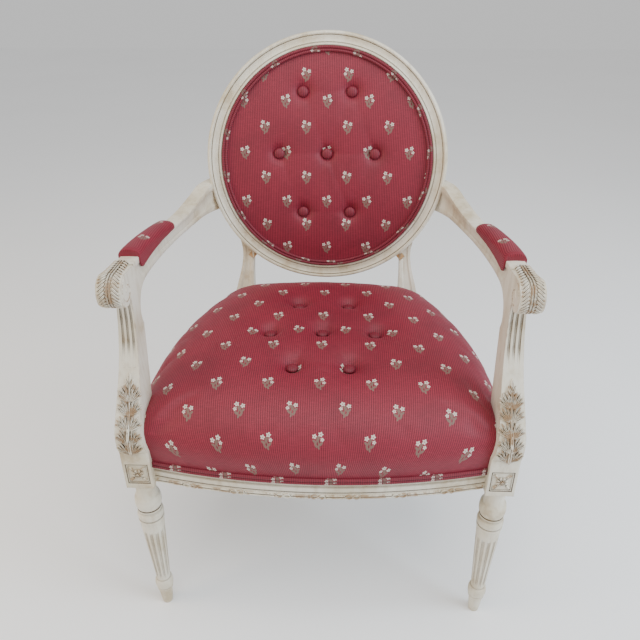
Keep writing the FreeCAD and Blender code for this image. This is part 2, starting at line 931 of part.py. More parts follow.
def arm_support():
    """Sawn to its side profile and to its front profile, then fluted; the scroll is cut in the same piece."""
    top_y = arm_joint_y - 46
    die_front = leg_y - half_die
    side = outline(
        side_view(-340),
        (die_front + 0.5, die_top_z),
        ((die_front - 1.5, die_top_z + 16), (support_front_y(441), 441)),
        ((support_front_y(530), 530), (support_front_y(arm_joint_z + 4), arm_joint_z + 4)),
        ((-246, arm_joint_z + 3), (scroll_y - scroll_radius, scroll_z)),
        ((scroll_y - scroll_radius * 0.72, scroll_z + scroll_radius * 0.72), (scroll_y - 2, scroll_z + scroll_radius)),
        ((-215, arm_joint_z + 49), (top_y, arm_joint_z + 46)),
        (arm_joint_y, arm_joint_z),
        ((-182, arm_joint_z - 18), (-184, arm_joint_z - 60)),
        ((-203, 490), (-227, 424)),
        ((-238, 404), (die_front + die_width, die_top_z)),
    )
    sawn = extruded(side, Vector(80, 0, 0))
    base_out = leg_x + half_die
    base_in = leg_x - half_die
    top_out = arm_inner_x + support_top_width
    front = outline(
        front_view(-400),
        (-base_out, die_top_z),
        ((-320.3, 450), (-317, 507)),
        ((-313.5, arm_joint_z - 70), (-top_out, arm_joint_z + 2)),
        (-scroll_outer_x, arm_joint_z + 3),
        (-scroll_outer_x, arm_joint_z + 70),
        (-arm_inner_x, arm_joint_z + 70),
        (-arm_inner_x, arm_joint_z + 2),
        ((-283.6, 520), (-280.5, 450)),
        ((-277, 422), (-base_in, die_top_z)),
    )
    body = sawn.common(extruded(front, Vector(0, 300, 0)))
    flare = outline(
        plan_view(arm_joint_z + 3.5),
        (-arm_inner_x - arm_width, arm_joint_y + 5),
        (-arm_inner_x - arm_width, arm_joint_y - 46),
        (-scroll_outer_x, scroll_y + 2),
        (-scroll_outer_x - 20, scroll_y + 2),
        (-scroll_outer_x - 20, arm_joint_y + 5),
    )
    body = body.cut(extruded(flare, Vector(0, 0, 80)))
    eye_place = Vector(-arm_inner_x + 1, scroll_y + 11, scroll_z - 12)
    eye = rod(eye_place, eye_place - Vector(6, 0, 0), volute_eye_radius)
    return with_joints("arm_support", body.cut([eye] + support_flutes()))


def support_flutes():
    """Three flutes that follow the hollow front of the support and die out above the carved leaf."""
    cutters = []
    for index in range(-1, 2):
        rings = []
        for step in range(support_flute_levels):
            share = step / (support_flute_levels - 1)
            z = support_flute_low_z + (support_flute_high_z - support_flute_low_z) * share
            y = support_front_y(z)
            centre_x = -(arm_inner_x + support_top_width / 2 + (1 - share) * 2.2)
            pitch = support_flute_pitch + (1 - share) * 1.2
            sink = support_flute_depth if step else 0.2
            x = centre_x + index * pitch
            half = support_flute_width / 2
            corners = [
                (x - half, y - 4),
                (x - half, y - 0.01),
                (x - half * 0.5, y + sink),
                (x + half * 0.5, y + sink),
                (x + half, y - 0.01),
                (x + half, y - 4),
            ]
            rings.append(level(z, corners))
        cutters.append(flat_loft(rings))
    return cutters


# Seat upholstery


def profile_offset(rows, inset):
    """Move an (out, z) profile inwards along its own normals."""
    moved = []
    for index, (out, z) in enumerate(rows):
        before = rows[max(index - 1, 0)]
        after = rows[min(index + 1, len(rows) - 1)]
        run_out, run_z = after[0] - before[0], after[1] - before[1]
        size = math.hypot(run_out, run_z)
        moved.append((out - inset * run_z / size, z + inset * run_out / size))
    return moved


def seat_profile():
    """The seat's side as (out, z): down in the rebate, a slight bulge over the welt, then the crown."""
    skin = -rail_rebate + SLIP + chord_slack + cloth
    rows = [(skin, rail_show_z + SLIP), (skin, rail_top_z + 4)]
    rows += [(seat_bulge * 0.8, rail_top_z + 16), (seat_bulge, rail_top_z + 28)]
    for inset, drop in seat_crown_rows:
        rows.append((-inset, seat_crown_z - drop))
    return rows


def seat_form(inset, bottom_z, skip=False):
    """A closed crowned form, `inset` mm inside the cover's outer face, from a bottom height up."""
    rows = profile_offset(seat_profile(), inset)
    if skip:
        rows = rows[:4] + rows[5:-1:2] + rows[-1:]
    below = [row for row in rows if row[1] <= bottom_z] or rows[:1]
    rows = [row for row in rows if row[1] > bottom_z + 0.5]
    (out_a, z_a), (out_b, z_b) = below[-1], rows[0]
    share = max((bottom_z - z_a) / (z_b - z_a), 0) if z_b > z_a else 0
    rows.insert(0, (out_a + (out_b - out_a) * share, bottom_z))
    return flat_loft([level(z, seat_points(out)) for out, z in rows])


def seat_height(x, y):
    """How high the crown is over a point, for seating the tufts."""
    spot = (x, y - seat_middle_y)
    edge = [(a, b - seat_middle_y) for a, b in seat_points(0)]
    scale = 0
    for (ax, ay), (bx, by) in zip(edge, edge[1:] + edge[:1]):
        side = ax * by - ay * bx
        share_a = (spot[0] * by - spot[1] * bx) / side
        share_b = (ax * spot[1] - ay * spot[0]) / side
        if share_a >= 0 and share_b >= 0:
            scale = share_a + share_b
    out = (scale - 1) * seat_half_depth - rail_rebate
    rows = seat_profile()
    for (out_a, z_a), (out_b, z_b) in zip(rows, rows[1:]):
        if out_b <= out <= out_a and z_b > rail_top_z + 30:
            return z_a + (z_b - z_a) * (out_a - out) / (out_a - out_b)
    return seat_crown_z


def button_places(pitch, row):
    """Seven places in rows of two, three and two."""
    return [
        (-pitch / 2, row),
        (pitch / 2, row),
        (-pitch, 0),
        (0, 0),
        (pitch, 0),
        (-pitch / 2, -row),
        (pitch / 2, -row),
    ]


def tuft(depth, radius, inset, facets=True):
    """The dip round a button, as a cutter standing on the surface; `inset` makes it larger all round."""
    floor = button_radius + 1 + inset * 0.8
    rows = [
        (floor, -depth - inset),
        (floor + (radius - floor) * 0.22, -depth * 0.5 - inset),
        (floor + (radius - floor) * 0.55, -depth * 0.16 - inset),
        (radius + inset, 1.5 - inset),
        (radius + inset, 60),
    ]
    if not facets:
        del rows[2]
    return faceted(rows, tuft_sides)


def seat_tuft_frames():
    """Where each seat tuft is, with the direction square to the crown there."""
    frames = []
    for x, step_y in button_places(seat_button_pitch, seat_button_row):
        y = seat_button_y + step_y
        z = seat_height(x, y)
        slope_x = (seat_height(x + 20, y) - seat_height(x - 20, y)) / 40
        slope_y = (seat_height(x, y + 20) - seat_height(x, y - 20)) / 40
        frames.append((Vector(x, y, z), Vector(-slope_x, -slope_y, 1).normalize()))
    return frames


def standing(shape, place, direction):
    """Turn an upright shape to a direction and put it in its place."""
    turn = FreeCAD.Rotation(Vector(0, 0, 1), direction)
    moved = shape.copy()
    moved.Placement = FreeCAD.Placement(place, turn)
    return moved


def tufted(form, frames, depth, radius, inset, facets=True):
    return form.cut([standing(tuft(depth, radius, inset, facets), place, up) for place, up in frames])


def frame_notches(clear):
    """What the seat's cover and stuffing are cut back from: the dies, supports and rear legs."""
    die_rear = leg_y + half_die + clear
    inner_x = -(leg_x - half_die) + clear
    side = outline(
        side_view(-500),
        (-500, 300),
        (die_rear, 300),
        (die_rear, die_top_z - 1),
        (-234, die_top_z + 3),
        (-223, 424),
        (-212, 448),
        (-197, 490),
        (-197, 600),
        (-500, 600),
    )
    support = extruded(side, Vector(500 + inner_x, 0, 0))
    block_y = rear_leg_y - rear_block_depth / 2 - clear
    low_x = -(rear_leg_x + rear_block_width / 2) - clear
    high_x = -(rear_leg_x - rear_block_width / 2) + clear
    stile = box((low_x - 60, block_y, 300), (high_x, 400, 700))
    return [support, mirrored(support), stile, mirrored(stile)]


def seat_cover():
    frames = seat_tuft_frames()
    outer = tufted(seat_form(0, rail_show_z + SLIP), frames, seat_tuft_depth, tuft_radius, 0)
    inner = tufted(seat_form(cloth, rail_show_z - 5, True), frames, seat_tuft_depth, tuft_radius, cloth, False)
    return outer.cut(inner).cut(frame_notches(SLIP + 0.5))


def seat_stuffing():
    inset = cloth + SLIP
    bottom = rail_top_z + webbing_thickness * 2 + hessian + SLIP * 3
    form = tufted(seat_form(inset, bottom, 2), seat_tuft_frames(), seat_tuft_depth, tuft_radius, inset + 0.3, False)
    return form.cut(frame_notches(SLIP + 0.5 + cloth))


def button():
    """A small covered button: a flat back and a low dome."""
    rows = [(button_radius - 1.5, 0), (button_radius, 2.4)]
    rows += [(button_radius - 3, button_height - 1.4), (button_radius - 7.5, button_height)]
    return faceted(rows, button_sides)


def seat_buttons():
    found = []
    for place, up in seat_tuft_frames():
        found.append(standing(button(), place - up * (seat_tuft_depth - SLIP), up))
    return Part.makeCompound(found)


def band(points, width, thickness, turned_to):
    """A flat woven strip of webbing: a thin zigzag side view drawn out to its width."""
    lower = [(a, b) for a, b in points]
    upper = [(a, b + thickness) for a, b in reversed(points)]
    wire = outline(turned_to, *(lower + upper))
    along = turned_to(0, 1) - turned_to(0, 0)
    across = (turned_to(1, 0) - turned_to(0, 0)).cross(along)
    return extruded(wire, across * width)


def seat_webbing():
    """Jute webbing tacked over the rails, three strips one way woven through three the other way."""
    base = rail_top_z
    step = webbing_thickness + SLIP
    rows_y = [webbing_middle_y + webbing_pitch * k for k in (-1, 0, 1)]
    rows_x = [webbing_pitch * k for k in (-1, 0, 1)]
    edge = (webbing_pitch - webbing_width) / 2
    lengthwise = []
    crosswise = []
    for i, x in enumerate(rows_x):
        points = [(front_arc_y(x) + 6, base)]
        for j, y in enumerate(rows_y):
            z = base if (i + j) % 2 else base + step
            points += [(y - webbing_pitch / 2 + edge * 0.6, z), (y + webbing_pitch / 2 - edge * 0.6, z)]
        points.append((rear_arc_y(x) - 8, base))
        lengthwise.append(band(points, webbing_width, webbing_thickness, side_view(x - webbing_width / 2)))
    for j, y in enumerate(rows_y):
        reach = -max(side_arc_x(y - webbing_width / 2), side_arc_x(y + webbing_width / 2)) - 8
        points = [(-reach, base)]
        for i, x in enumerate(rows_x):
            z = base + step if (i + j) % 2 else base
            points += [(x - webbing_pitch / 2 + edge * 0.6, z), (x + webbing_pitch / 2 - edge * 0.6, z)]
        points.append((reach, base))
        crosswise.append(band(points, -webbing_width, webbing_thickness, front_view(y - webbing_width / 2)))
    return Part.makeCompound(lengthwise), Part.makeCompound(crosswise)


def seat_sheet(out, low_z, thickness, clear):
    """A flat sheet cut to the seat's outline and round the legs."""
    sheet = extruded(outline(plan_view(low_z), *seat_points(out)), Vector(0, 0, thickness))
    return sheet.cut(frame_notches(clear))


def welt_levels(out, low_z):
    """Two round cords, one over the other: (out, z) pairs of the strip's outer face."""
    r = welt_radius
    cord = [(0, 0), (r * 1.1, r * 0.5), (r * 1.1, r * 1.5)]
    rows = [(out + a, low_z + b) for a, b in cord]
    rows.append((out + r * 0.45, low_z + r * 2))
    rows += [(out + a, low_z + r * 2 + b) for a, b in cord[1:]]
    rows.append((out, low_z + r * 4))
    return rows


def seat_welt():
    """The double welt over the edge of the cover, cut off at the dies and the rear legs."""
    skin = -rail_rebate + SLIP * 2 + chord_slack + cloth
    low_z = rail_show_z + SLIP
    rows = welt_levels(skin + 0.8, low_z)
    outer = flat_loft([level(z, seat_points(out)) for out, z in rows])
    core = extruded(outline(plan_view(low_z - 1), *seat_points(skin)), Vector(0, 0, welt_radius * 4 + 2))
    return outer.cut(core).cut(frame_notches(SLIP))


# Back upholstery


def back_rise(u, v):
    """How far the back's crown stands out over a point of its oval: flat under the welt, then full."""
    reach = math.hypot(u / back_half_width, v / back_half_height) / (1 - back_flat_edge / back_half_width)
    return back_edge_n + back_crown * max(0, 1 - reach**2.4)


def back_form(inset, low_n, lower=0.0, steps=12, across=6):
    """A crowned panel inside the medallion, lofted over the hollow of the back from side to side."""
    half_w = back_half_width - chord_slack - inset
    half_h = back_half_height - chord_slack - inset
    rings = []
    for index in range(steps + 1):
        turn = math.radians(6 + 168 * index / steps)
        u = -half_w * math.cos(turn)
        h = half_h * math.sin(turn)
        points = [(-h, low_n)]
        for k in range(across + 1):
            v = -h * math.cos(math.pi * k / across)
            points.append((v, max(back_rise(u, v) - lower, low_n + 0.4)))
        points.append((h, low_n))
        rings.append([back_point(u, back_centre_v + v, n) for v, n in points])
    return flat_loft(rings)


def back_tuft_frames():
    frames = []
    for u, v in button_places(back_button_pitch, back_button_row):
        base = back_point(u, v, 0)
        front = (back_point(u, v, 1) - base).normalize()
        frames.append((base + front * back_rise(u, v - back_centre_v), front))
    return frames


def back_cover():
    frames = back_tuft_frames()
    floor = -frame_rebate_depth + webbing_thickness + hessian + SLIP * 4
    outer = tufted(back_form(SLIP, floor), frames, back_tuft_depth, back_tuft_radius, 0)
    inner = back_form(SLIP + cloth, floor - 3, cloth)
    inner = tufted(inner, frames, back_tuft_depth, back_tuft_radius, cloth, False)
    return outer.cut(inner)


def back_stuffing():
    inset = cloth + SLIP
    floor = -frame_rebate_depth + webbing_thickness + hessian + SLIP * 4
    form = back_form(back_flat_edge + 8, floor, inset + 0.5)
    return tufted(form, back_tuft_frames(), back_tuft_depth, back_tuft_radius, inset + 0.6, False)


def back_buttons():
    found = []
    for place, front in back_tuft_frames():
        found.append(standing(button(), place - front * (back_tuft_depth - SLIP), front))
    return Part.makeCompound(found)


def back_webbing():
    """Upright strips only, because strips across would pull the hollow of the back flat."""
    strips = []
    n = -frame_rebate_depth
    for k in (-1, 0, 1):
        u = back_webbing_pitch * k
        half = webbing_width / 2
        ends = []
        for side in (u - half, u + half):
            ends.append((back_half_height - 3) * math.sqrt(1 - (side / (back_half_width - 3)) ** 2))
        corners = [(u - half, -ends[0]), (u + half, -ends[1]), (u + half, ends[1]), (u - half, ends[0])]
        base = back_point(u, back_centre_v, n)
        front = (back_point(u, back_centre_v, n + 1) - base).normalize()
        up = (back_point(u, back_centre_v + 1, n) - base).normalize()
        right = up.cross(front)
        wire = outline(lambda a, b: base + right * (a - u) + up * b + front * (SLIP * 3), *corners)
        strips.append(extruded(wire, front * (webbing_thickness - SLIP)))
    return Part.makeCompound(strips)


def back_sheet(inset, low_n, thickness, steps=14):
    """A thin sheet that follows the hollow of the back."""
    half_w = back_half_width - inset
    half_h = back_half_height - inset
    rings = []
    for index in range(steps + 1):
        turn = math.radians(6 + 168 * index / steps)
        u = -half_w * math.cos(turn)
        h = half_h * math.sin(turn)
        corners = [(-h, low_n), (-h, low_n + thickness), (h, low_n + thickness), (h, low_n)]
        rings.append([back_point(u, back_centre_v + v, n) for v, n in corners])
    return flat_loft(rings)


def back_welt():
    """The double welt that hides the tacks between the cover and the inner bead."""
    r = back_welt_radius

    def section(place):
        low = back_edge_n + SLIP
        return outline(
            place,
            (-chord_slack, low),
            (-chord_slack, low + r * 1.4),
            (-chord_slack - r, low + r * 2),
            (-chord_slack - r * 2, low + r * 1.2),
            (-chord_slack - r * 3, low + r * 2),
            (-chord_slack - r * 4, low + r * 1.4),
            (-chord_slack - r * 3.8, low + r * 0.9),
        )

    return whole_ring(section)


def outer_back_welt():
    """The cord round the plain cloth on the rear side."""
    r = back_welt_radius
    low = -frame_thickness - SLIP - outer_back_cloth

    def section(place):
        return outline(
            place,
            (-1, low - SLIP),
            (-1 - r * 2, low - SLIP),
            (-1 - r * 1.7, low - r * 1.4),
            (-1 - r * 0.3, low - r * 1.4),
        )

    return whole_ring(section)


# Arm pads


def pad_section(station, inset, crown_share, skirt):
    """One level of the pad: an arched top over the arm, with skirts down its two sides."""
    here, across, top, low = station
    place = lambda a, z: here + across * a + Vector(0, 0, z)
    inner = -pad_overlap - SLIP + inset
    outer = arm_width + pad_overlap + SLIP - inset
    middle = arm_width / 2
    crown = top + (pad_crown - inset) * crown_share
    shoulder = top + (pad_crown * 0.45 - inset) * crown_share
    rows = [
        (inner, top - skirt),
        (outer, top - skirt),
        (outer, shoulder - 2),
        (outer - 4, shoulder + 2.4 * crown_share),
        (middle + 6, crown),
        (middle - 6, crown),
        (inner + 4, shoulder + 2.4 * crown_share),
        (inner, shoulder - 2),
    ]
    return [place(a, z) for a, z in rows]


def pad_form(inset, skirt_share):
    """The pad's closed form from its rounded rear end to the square front end."""
    length = pad_rear_y - pad_front_y
    curves = smooth_curves(arm_line)
    line = []
    for index in range(pad_steps + 1):
        y = pad_rear_y - inset - (length - 2 * inset) * index / pad_steps
        line.append((y, *(value_at(curve, y) for curve in curves)))
    wires = []
    for station in arm_frames(line):
        back_share = (station[0].y - pad_front_y) / length
        crown_share = 0.35 + 0.65 * min(1, (1 - back_share) * 5) ** 0.5 if back_share > 0.8 else 1
        skirt = 2 + (pad_skirt - 2) * (1 - back_share) ** 0.8 * skirt_share
        wires.append(pad_section(station, inset, crown_share, skirt))
    return flat_loft(wires)


def grown_arm(grow):
    """The arm's plain outline, grown a little, that the pad is cut back from."""
    rings = []
    for here, across, top, low in arm_stations():
        far = arm_width + grow
        corners = [(-grow, low - grow), (-grow, top + grow), (far, top + grow), (far, low - grow)]
        rings.append([here + across * a + Vector(0, 0, z) for a, z in corners])
    return flat_loft(rings)


def arm_pad_cover():
    body = pad_form(0, 1).cut(grown_arm(SLIP))
    return body.cut(arm_pad_core(SLIP))


def arm_pad_core(grow):
    """The hair under the pad's cover; grown a little, it is the cover's hollow."""
    inset = cloth + SLIP - grow
    form = pad_form(inset + 0.2, 0)
    return max(form.cut(grown_arm(SLIP)).Solids, key=lambda solid: solid.Volume)


def save_all():
    os.makedirs("parts", exist_ok=True)
    for name, shape in nodes.items():
        shape.exportStep("parts/" + name + ".step")


keep_pair("front_leg", front_leg())
keep("front_rail", front_rail())
keep_pair("side_rail", side_rail_left())
keep("rear_rail", rear_rail())
keep_pair("rear_leg", rear_leg())
front_block, rear_block = corner_blocks()
keep_pair("front_corner_block", front_block)
keep_pair("rear_corner_block", rear_block)
keep("back_frame_top", with_joints("back_frame_top", ring_part(38, 142, frame_section), True))
keep_pair("back_frame", with_joints("back_frame_left", ring_part(142, 212, frame_section)))
keep("back_frame_bottom", with_joints("back_frame_bottom", ring_part(212, 328, frame_section), True))
keep_pair("arm", arm())
keep_pair("arm_support", arm_support())
for group in ("arm_tenons", "stile_tenons", "back_frame_tenons"):
    keep(group, tenon_group(group))

lengthwise_strips, crosswise_strips = seat_webbing()
keep("seat_webbing_lengthwise", lengthwise_strips)
keep("seat_webbing_crosswise", crosswise_strips)
sheet_z = rail_top_z + webbing_thickness * 2 + SLIP * 2
keep("seat_hessian", seat_sheet(-rail_rebate - 2, sheet_z, hessian, 1.5))
keep("seat_stuffing", seat_stuffing())
keep("seat_cover", seat_cover())
keep("seat_buttons", seat_buttons())
keep("seat_welt", seat_welt())
keep("dust_cover", seat_sheet(-6, rail_bottom_z - dust_cloth, dust_cloth, 0.5))
keep("back_webbing", back_webbing())
keep("back_hessian", back_sheet(4, -frame_rebate_depth + webbing_thickness + SLIP * 3, hessian))
keep("back_stuffing", back_stuffing())
keep("back_cover", back_cover())
keep("back_buttons", back_buttons())
keep("back_welt", back_welt())
keep("outer_back_cover", back_sheet(2, -frame_thickness - SLIP - outer_back_cloth, outer_back_cloth))
keep("outer_back_welt", outer_back_welt())
keep_pair("arm_pad_cover", arm_pad_cover())
keep_pair("arm_pad_stuffing", arm_pad_core(0))
save_all()
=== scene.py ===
import math

import bmesh
import bpy
from mathutils import Matrix, Vector


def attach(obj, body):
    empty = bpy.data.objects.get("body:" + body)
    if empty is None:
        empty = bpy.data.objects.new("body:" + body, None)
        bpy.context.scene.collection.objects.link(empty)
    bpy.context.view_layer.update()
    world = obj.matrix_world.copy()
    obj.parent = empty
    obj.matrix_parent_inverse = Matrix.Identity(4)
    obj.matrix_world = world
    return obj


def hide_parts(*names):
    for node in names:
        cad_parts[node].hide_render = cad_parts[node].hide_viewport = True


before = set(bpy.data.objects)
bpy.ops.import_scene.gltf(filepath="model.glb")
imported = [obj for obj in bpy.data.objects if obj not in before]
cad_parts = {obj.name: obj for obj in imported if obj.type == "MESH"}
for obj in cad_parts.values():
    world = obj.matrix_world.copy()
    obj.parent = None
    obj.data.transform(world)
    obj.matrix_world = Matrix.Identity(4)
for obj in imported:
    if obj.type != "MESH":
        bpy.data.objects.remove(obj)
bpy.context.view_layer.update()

# Medallion-back armchair. Shapes are worked out in millimetres, as a joiner and an upholsterer
# would, and put into the meshes in metres.

MM = 0.001

# Front legs and dies
leg_x = 294.5
leg_y = -280.0
die_half = 23.0
die_low = 321.0
die_high = 397.5
die_middle = (die_high + die_low) / 2
panel_half_width = 18.5
panel_low = 331.0
panel_high = 373.0
panel_middle = (panel_low + panel_high) / 2
panel_steps = ((1.7, 1.6), (-1.0, 1.4), (1.2, 0.4))  # how far each step sinks and narrows
flute_count = 12
flute_low = 76.0
flute_high = 208.0
flute_half = 0.3  # half a flute's width, as a share of the way to the next
flute_depth = (1.6, 1.1)  # at its foot, and how much deeper at its top

# Rails
rail_low = 324.0
rail_band_z = rail_low + 6.6
front_bow_radius = 1200.0
front_bow_y = 878.0
side_radius = 640.0
side_centre = (338.0, -165.0)
rear_bow_radius = 900.0
rear_bow_y = -697.0
front_corner = 30.0
rear_corner = 80.0
ribbon_knots = (-210, -131, -56, 0, 56, 131, 210)
ribbon_end = 268
knot_half = 13

# Medallion
back_axis = (249.0, 721.0)
back_tilt = math.radians(11.75)
back_up = Vector((0, math.sin(back_tilt), math.cos(back_tilt)))
back_front = Vector((0, -math.cos(back_tilt), math.sin(back_tilt)))
bend_radius = 909.0
oval_half_width = 216.5
oval_half_height = 221.5
oval_centre = -15.8
medallion_step = 1.6  # degrees from section to section
medallion_section = [
    # outside the oval, proud of its face: rebate, inner bead, cove, small bead, outer bead, back
    (-13, -30.6), (-13, -8), (0, -8),
    (0, -2.6), (0.5, -1.3), (1.4, -0.4), (2.5, -0.1), (3.6, -0.4), (4.5, -1.3), (4.9, -2.6),
    (5.4, -3.6), (6.2, -3.9), (7.4, -3.3), (10, -4.3), (13, -4.6), (16, -4.2), (18.6, -3.0),
    (19.6, -3.4), (20.1, -3.6), (20.6, -2.4), (21.5, -0.9), (22.8, -0.15), (24.2, -0.2),
    (25.8, -1.0), (27, -2.6), (27.7, -4.8), (27.8, -8), (27.3, -18), (26.6, -28.5), (25.6, -30.6),
]

# Arms and their supports
arm_width = 29.0
arm_joint = (-148.0, 630.0)
arm_inner_x = -284.5
arm_rear_y = 246
arm_front_y = -190
arm_steps = 72
scroll_centre = (-235.5, 656.5)
scroll_radius = 24.5
scroll_outer_x = -321.5
support_hollow = (-485.0, 622.0, 262.0)
support_foot_y = -302.5
support_swell_z = 441.0
arm_line = [
    # y, inner face x, top, underside
    (252.0, -212.0, 668.0, 606.0),
    (199.0, -238.0, 667.0, 611.0),
    (166.0, -249.5, 656.0, 613.5),
    (129.0, -259.0, 648.0, 614.0),
    (95.0, -266.5, 644.0, 614.5),
    (40.0, -275.0, 646.0, 618.0),
    (-30.0, -281.5, 657.0, 623.0),
    (-100.0, -284.5, 668.0, 628.0),
    (-160.0, -284.5, 675.5, 630.5),
    (-215.0, -284.5, 677.5, 631.0),
]

# Seat: its side and its crown as (out of or in from the rails' faces, height)
seat_middle_y = -62.0
seat_half_depth = 259.0
seat_side = [
    (-2.8, 381.2), (-2.8, 358.7), (-0.1, 358.3), (-0.1, 366), (0.6, 376), (2.6, 388),
    (4, 400), (3.4, 412), (0, 425),
]
seat_crown = [
    (0, 425), (14, 447), (38, 466), (75, 480), (120, 489), (170, 494.5), (225, 497), (256, 497.4),
]
crown_steps = 64
crown_reach = 253.5
dust_rows = [
    (-252, 323.9), (-120, 323.95), (-30, 323.95), (-6, 323.9),
    (-6, 323.2), (-30, 323.15), (-120, 323.6), (-252, 323.7),
]

# Tufts and buttons
tuft_floor = 11.6
seat_tufts = [(-48, 32), (48, 32), (-96, -72), (0, -72), (96, -72), (-48, -176), (48, -176)]
seat_tuft_depth, seat_tuft_fall = 17.0, 10.2
back_tufts = [
    (-49.2, 119.7), (49.2, 119.7), (-98.4, 0), (0, 0), (98.4, 0), (-49.2, -119.7), (49.2, -119.7),
]
back_tuft_depth, back_tuft_fall = 10.0, 7.4
tuft_neighbours = [
    (0, 1), (2, 3), (3, 4), (5, 6), (0, 2), (0, 3), (1, 3), (1, 4), (5, 2), (5, 3), (6, 3), (6, 4),
]
pleat_half = 5.5
pleat_depth = 1.7
button_radius = 9.2
button_dome = (
    # each step up, and how much it widens or narrows
    (1.2, 1.14), (1.2, 1.01), (1.2, 0.96), (1.2, 0.9),
    (0.9, 0.84), (0.7, 0.74), (0.4, 0.6), (0.2, 0.4),
)
seat_button_sink = 16.4
back_button_sink = 9.6

# Back cushion, welts and arm pads
back_around = 150
back_steps = 62
back_base = -4.2
back_base_shares = (0.01, 0.15, 0.3, 0.45, 0.6, 0.75, 0.9, 1.0)
outer_cloth_shares = (0.02, 0.18, 0.34, 0.5, 0.66, 0.82, 1.0)
welt_radius = 3.1
welt_z = 361.6
welt_gap = 6.3
pad_rear_y = 40.0
pad_front_y = -161.0
pad_steps = 46
pad_height = 13.6
pad_overhang = 2.6
pad_hem = 2.4

# The woven sprig, its places and sizes from its own middle
sprig_row = 49.7
sprig_column = 84.3
rib_pitch = 3.5
pick_pitch = 1.9
sprig_blossoms = (
    # middle, reach of the petals, size of the eye
    ((-5.6, 7.0), 4.1, 1.1),
    ((4.4, 10.2), 4.3, 1.2),
    ((7.0, 2.2), 3.4, 0.9),
)
sprig_leaves = (
    # middle, half length and width, slant
    ((0.2, 3.4), (5.2, 2.6), 1.2),
    ((-5.2, -0.8), (4.4, 2.1), 2.5),
    ((-3.4, -6.4), (4.4, 1.9), 2.0),
    ((4.4, -4.6), (4.6, 2.2), 0.7),
    ((1.2, -9.6), (3.8, 1.7), 1.9),
    ((1.0, -2.4), (7.0, 1.0), 1.75),
)


# Hand tools


def deselect():
    if bpy.context.mode != "OBJECT":
        bpy.ops.object.mode_set(mode="OBJECT")
    bpy.ops.object.select_all(action="DESELECT")


def take(obj):
    deselect()
    obj.select_set(True)
    bpy.context.view_layer.objects.active = obj


def named(name):
    obj = bpy.context.object
    obj.name = name
    obj.data.name = name
    return obj


def open_mesh(obj):
    """Into edit mode on one piece, with all of it selected."""
    take(obj)
    bpy.ops.object.mode_set(mode="EDIT")
    bpy.ops.mesh.select_all(action="SELECT")
    return bmesh.from_edit_mesh(obj.data)


def close_mesh(turn_out=False):
    """Back to object mode, with the faces turned outwards first where that is asked for."""
    if turn_out:
        bpy.ops.mesh.select_all(action="SELECT")
        bpy.ops.mesh.normals_make_consistent(inside=False)
    bpy.ops.object.mode_set(mode="OBJECT")


def drawn_out(name, rings, lay=None):
    """A section extruded from ring to ring, in millimetres. `lay` gives the cloth's own measure."""
    deselect()
    bpy.ops.mesh.primitive_circle_add(vertices=len(rings[0]), radius=1, fill_type="NGON")
    obj = named(name)
    mesh = open_mesh(obj)
    cloth = mesh.verts.layers.float_vector.new("cloth")
    mesh.verts.ensure_lookup_table()
    for index, vert in enumerate(mesh.verts):
        vert.co = Vector(rings[0][index]) * MM
        if lay:
            vert[cloth] = Vector(lay[0][index]) * MM
    bmesh.update_edit_mesh(obj.data)
    for step in range(1, len(rings)):
        bpy.ops.mesh.extrude_region_move()
        mesh = bmesh.from_edit_mesh(obj.data)
        cloth = mesh.verts.layers.float_vector["cloth"]
        top = next(face for face in mesh.faces if face.select)
        corners = list(top.verts)
        # The new face's corners start anywhere and run either way, so the last ring is found on it.
        first = Vector(rings[step - 1][0]) * MM
        second = Vector(rings[step - 1][1]) * MM
        start = min(range(len(corners)), key=lambda k: (corners[k].co - first).length)
        ahead = corners[(start + 1) % len(corners)].co
        turn = 1 if (ahead - second).length < (corners[start - 1].co - second).length else -1
        for index, place in enumerate(rings[step]):
            vert = corners[(start + turn * index) % len(corners)]
            vert.co = Vector(place) * MM
            if lay:
                vert[cloth] = Vector(lay[step][index]) * MM
        bmesh.update_edit_mesh(obj.data)
    close_mesh(turn_out=True)
    if lay:
        lay_cloth(obj)
    return obj


def lay_cloth(obj):
    """The cloth's measure becomes the UV map that its pattern follows."""
    measure = [Vector(item.vector) for item in obj.data.attributes["cloth"].data]
    layer = obj.data.uv_layers.new(name="cloth_lay")
    for loop in obj.data.loops:
        layer.data[loop.index].uv = measure[loop.vertex_index].xy


def applied(obj, kind, **settings):
    take(obj)
    modifier = obj.modifiers.new(kind.title(), kind)
    for key, value in settings.items():
        setattr(modifier, key, value)
    bpy.ops.object.modifier_apply(modifier=modifier.name)


def joined(pieces, name):
    deselect()
    for piece in pieces:
        piece.select_set(True)
    bpy.context.view_layer.objects.active = pieces[0]
    bpy.ops.object.join()
    return named(name)


def own_copy(obj):
    """A copy of a piece with its own mesh."""
    piece = obj.copy()
    piece.data = obj.data.copy()
    bpy.context.collection.objects.link(piece)
    return piece


def mirror_twin(obj):
    """The right-hand twin of a left-hand piece."""
    twin = own_copy(obj)
    twin.name = twin.data.name = obj.name.replace("_left", "_right")
    twin.data.transform(Matrix.Diagonal((-1, 1, 1, 1)))
    open_mesh(twin)
    close_mesh(turn_out=True)
    return twin


def copied(pattern, places, name):
    """Copies of one small pattern piece, joined under one name."""
    pieces = []
    for place in places:
        piece = own_copy(pattern)
        piece.data.transform(place)
        pieces.append(piece)
    return joined(pieces, name)


def drop(obj):
    mesh = obj.data
    bpy.data.objects.remove(obj)
    bpy.data.meshes.remove(mesh)


def carved(pattern, places, name):
    """One piece of carving from copies of a pattern that is not needed again."""
    obj = copied(pattern, places, name)
    drop(pattern)
    return obj


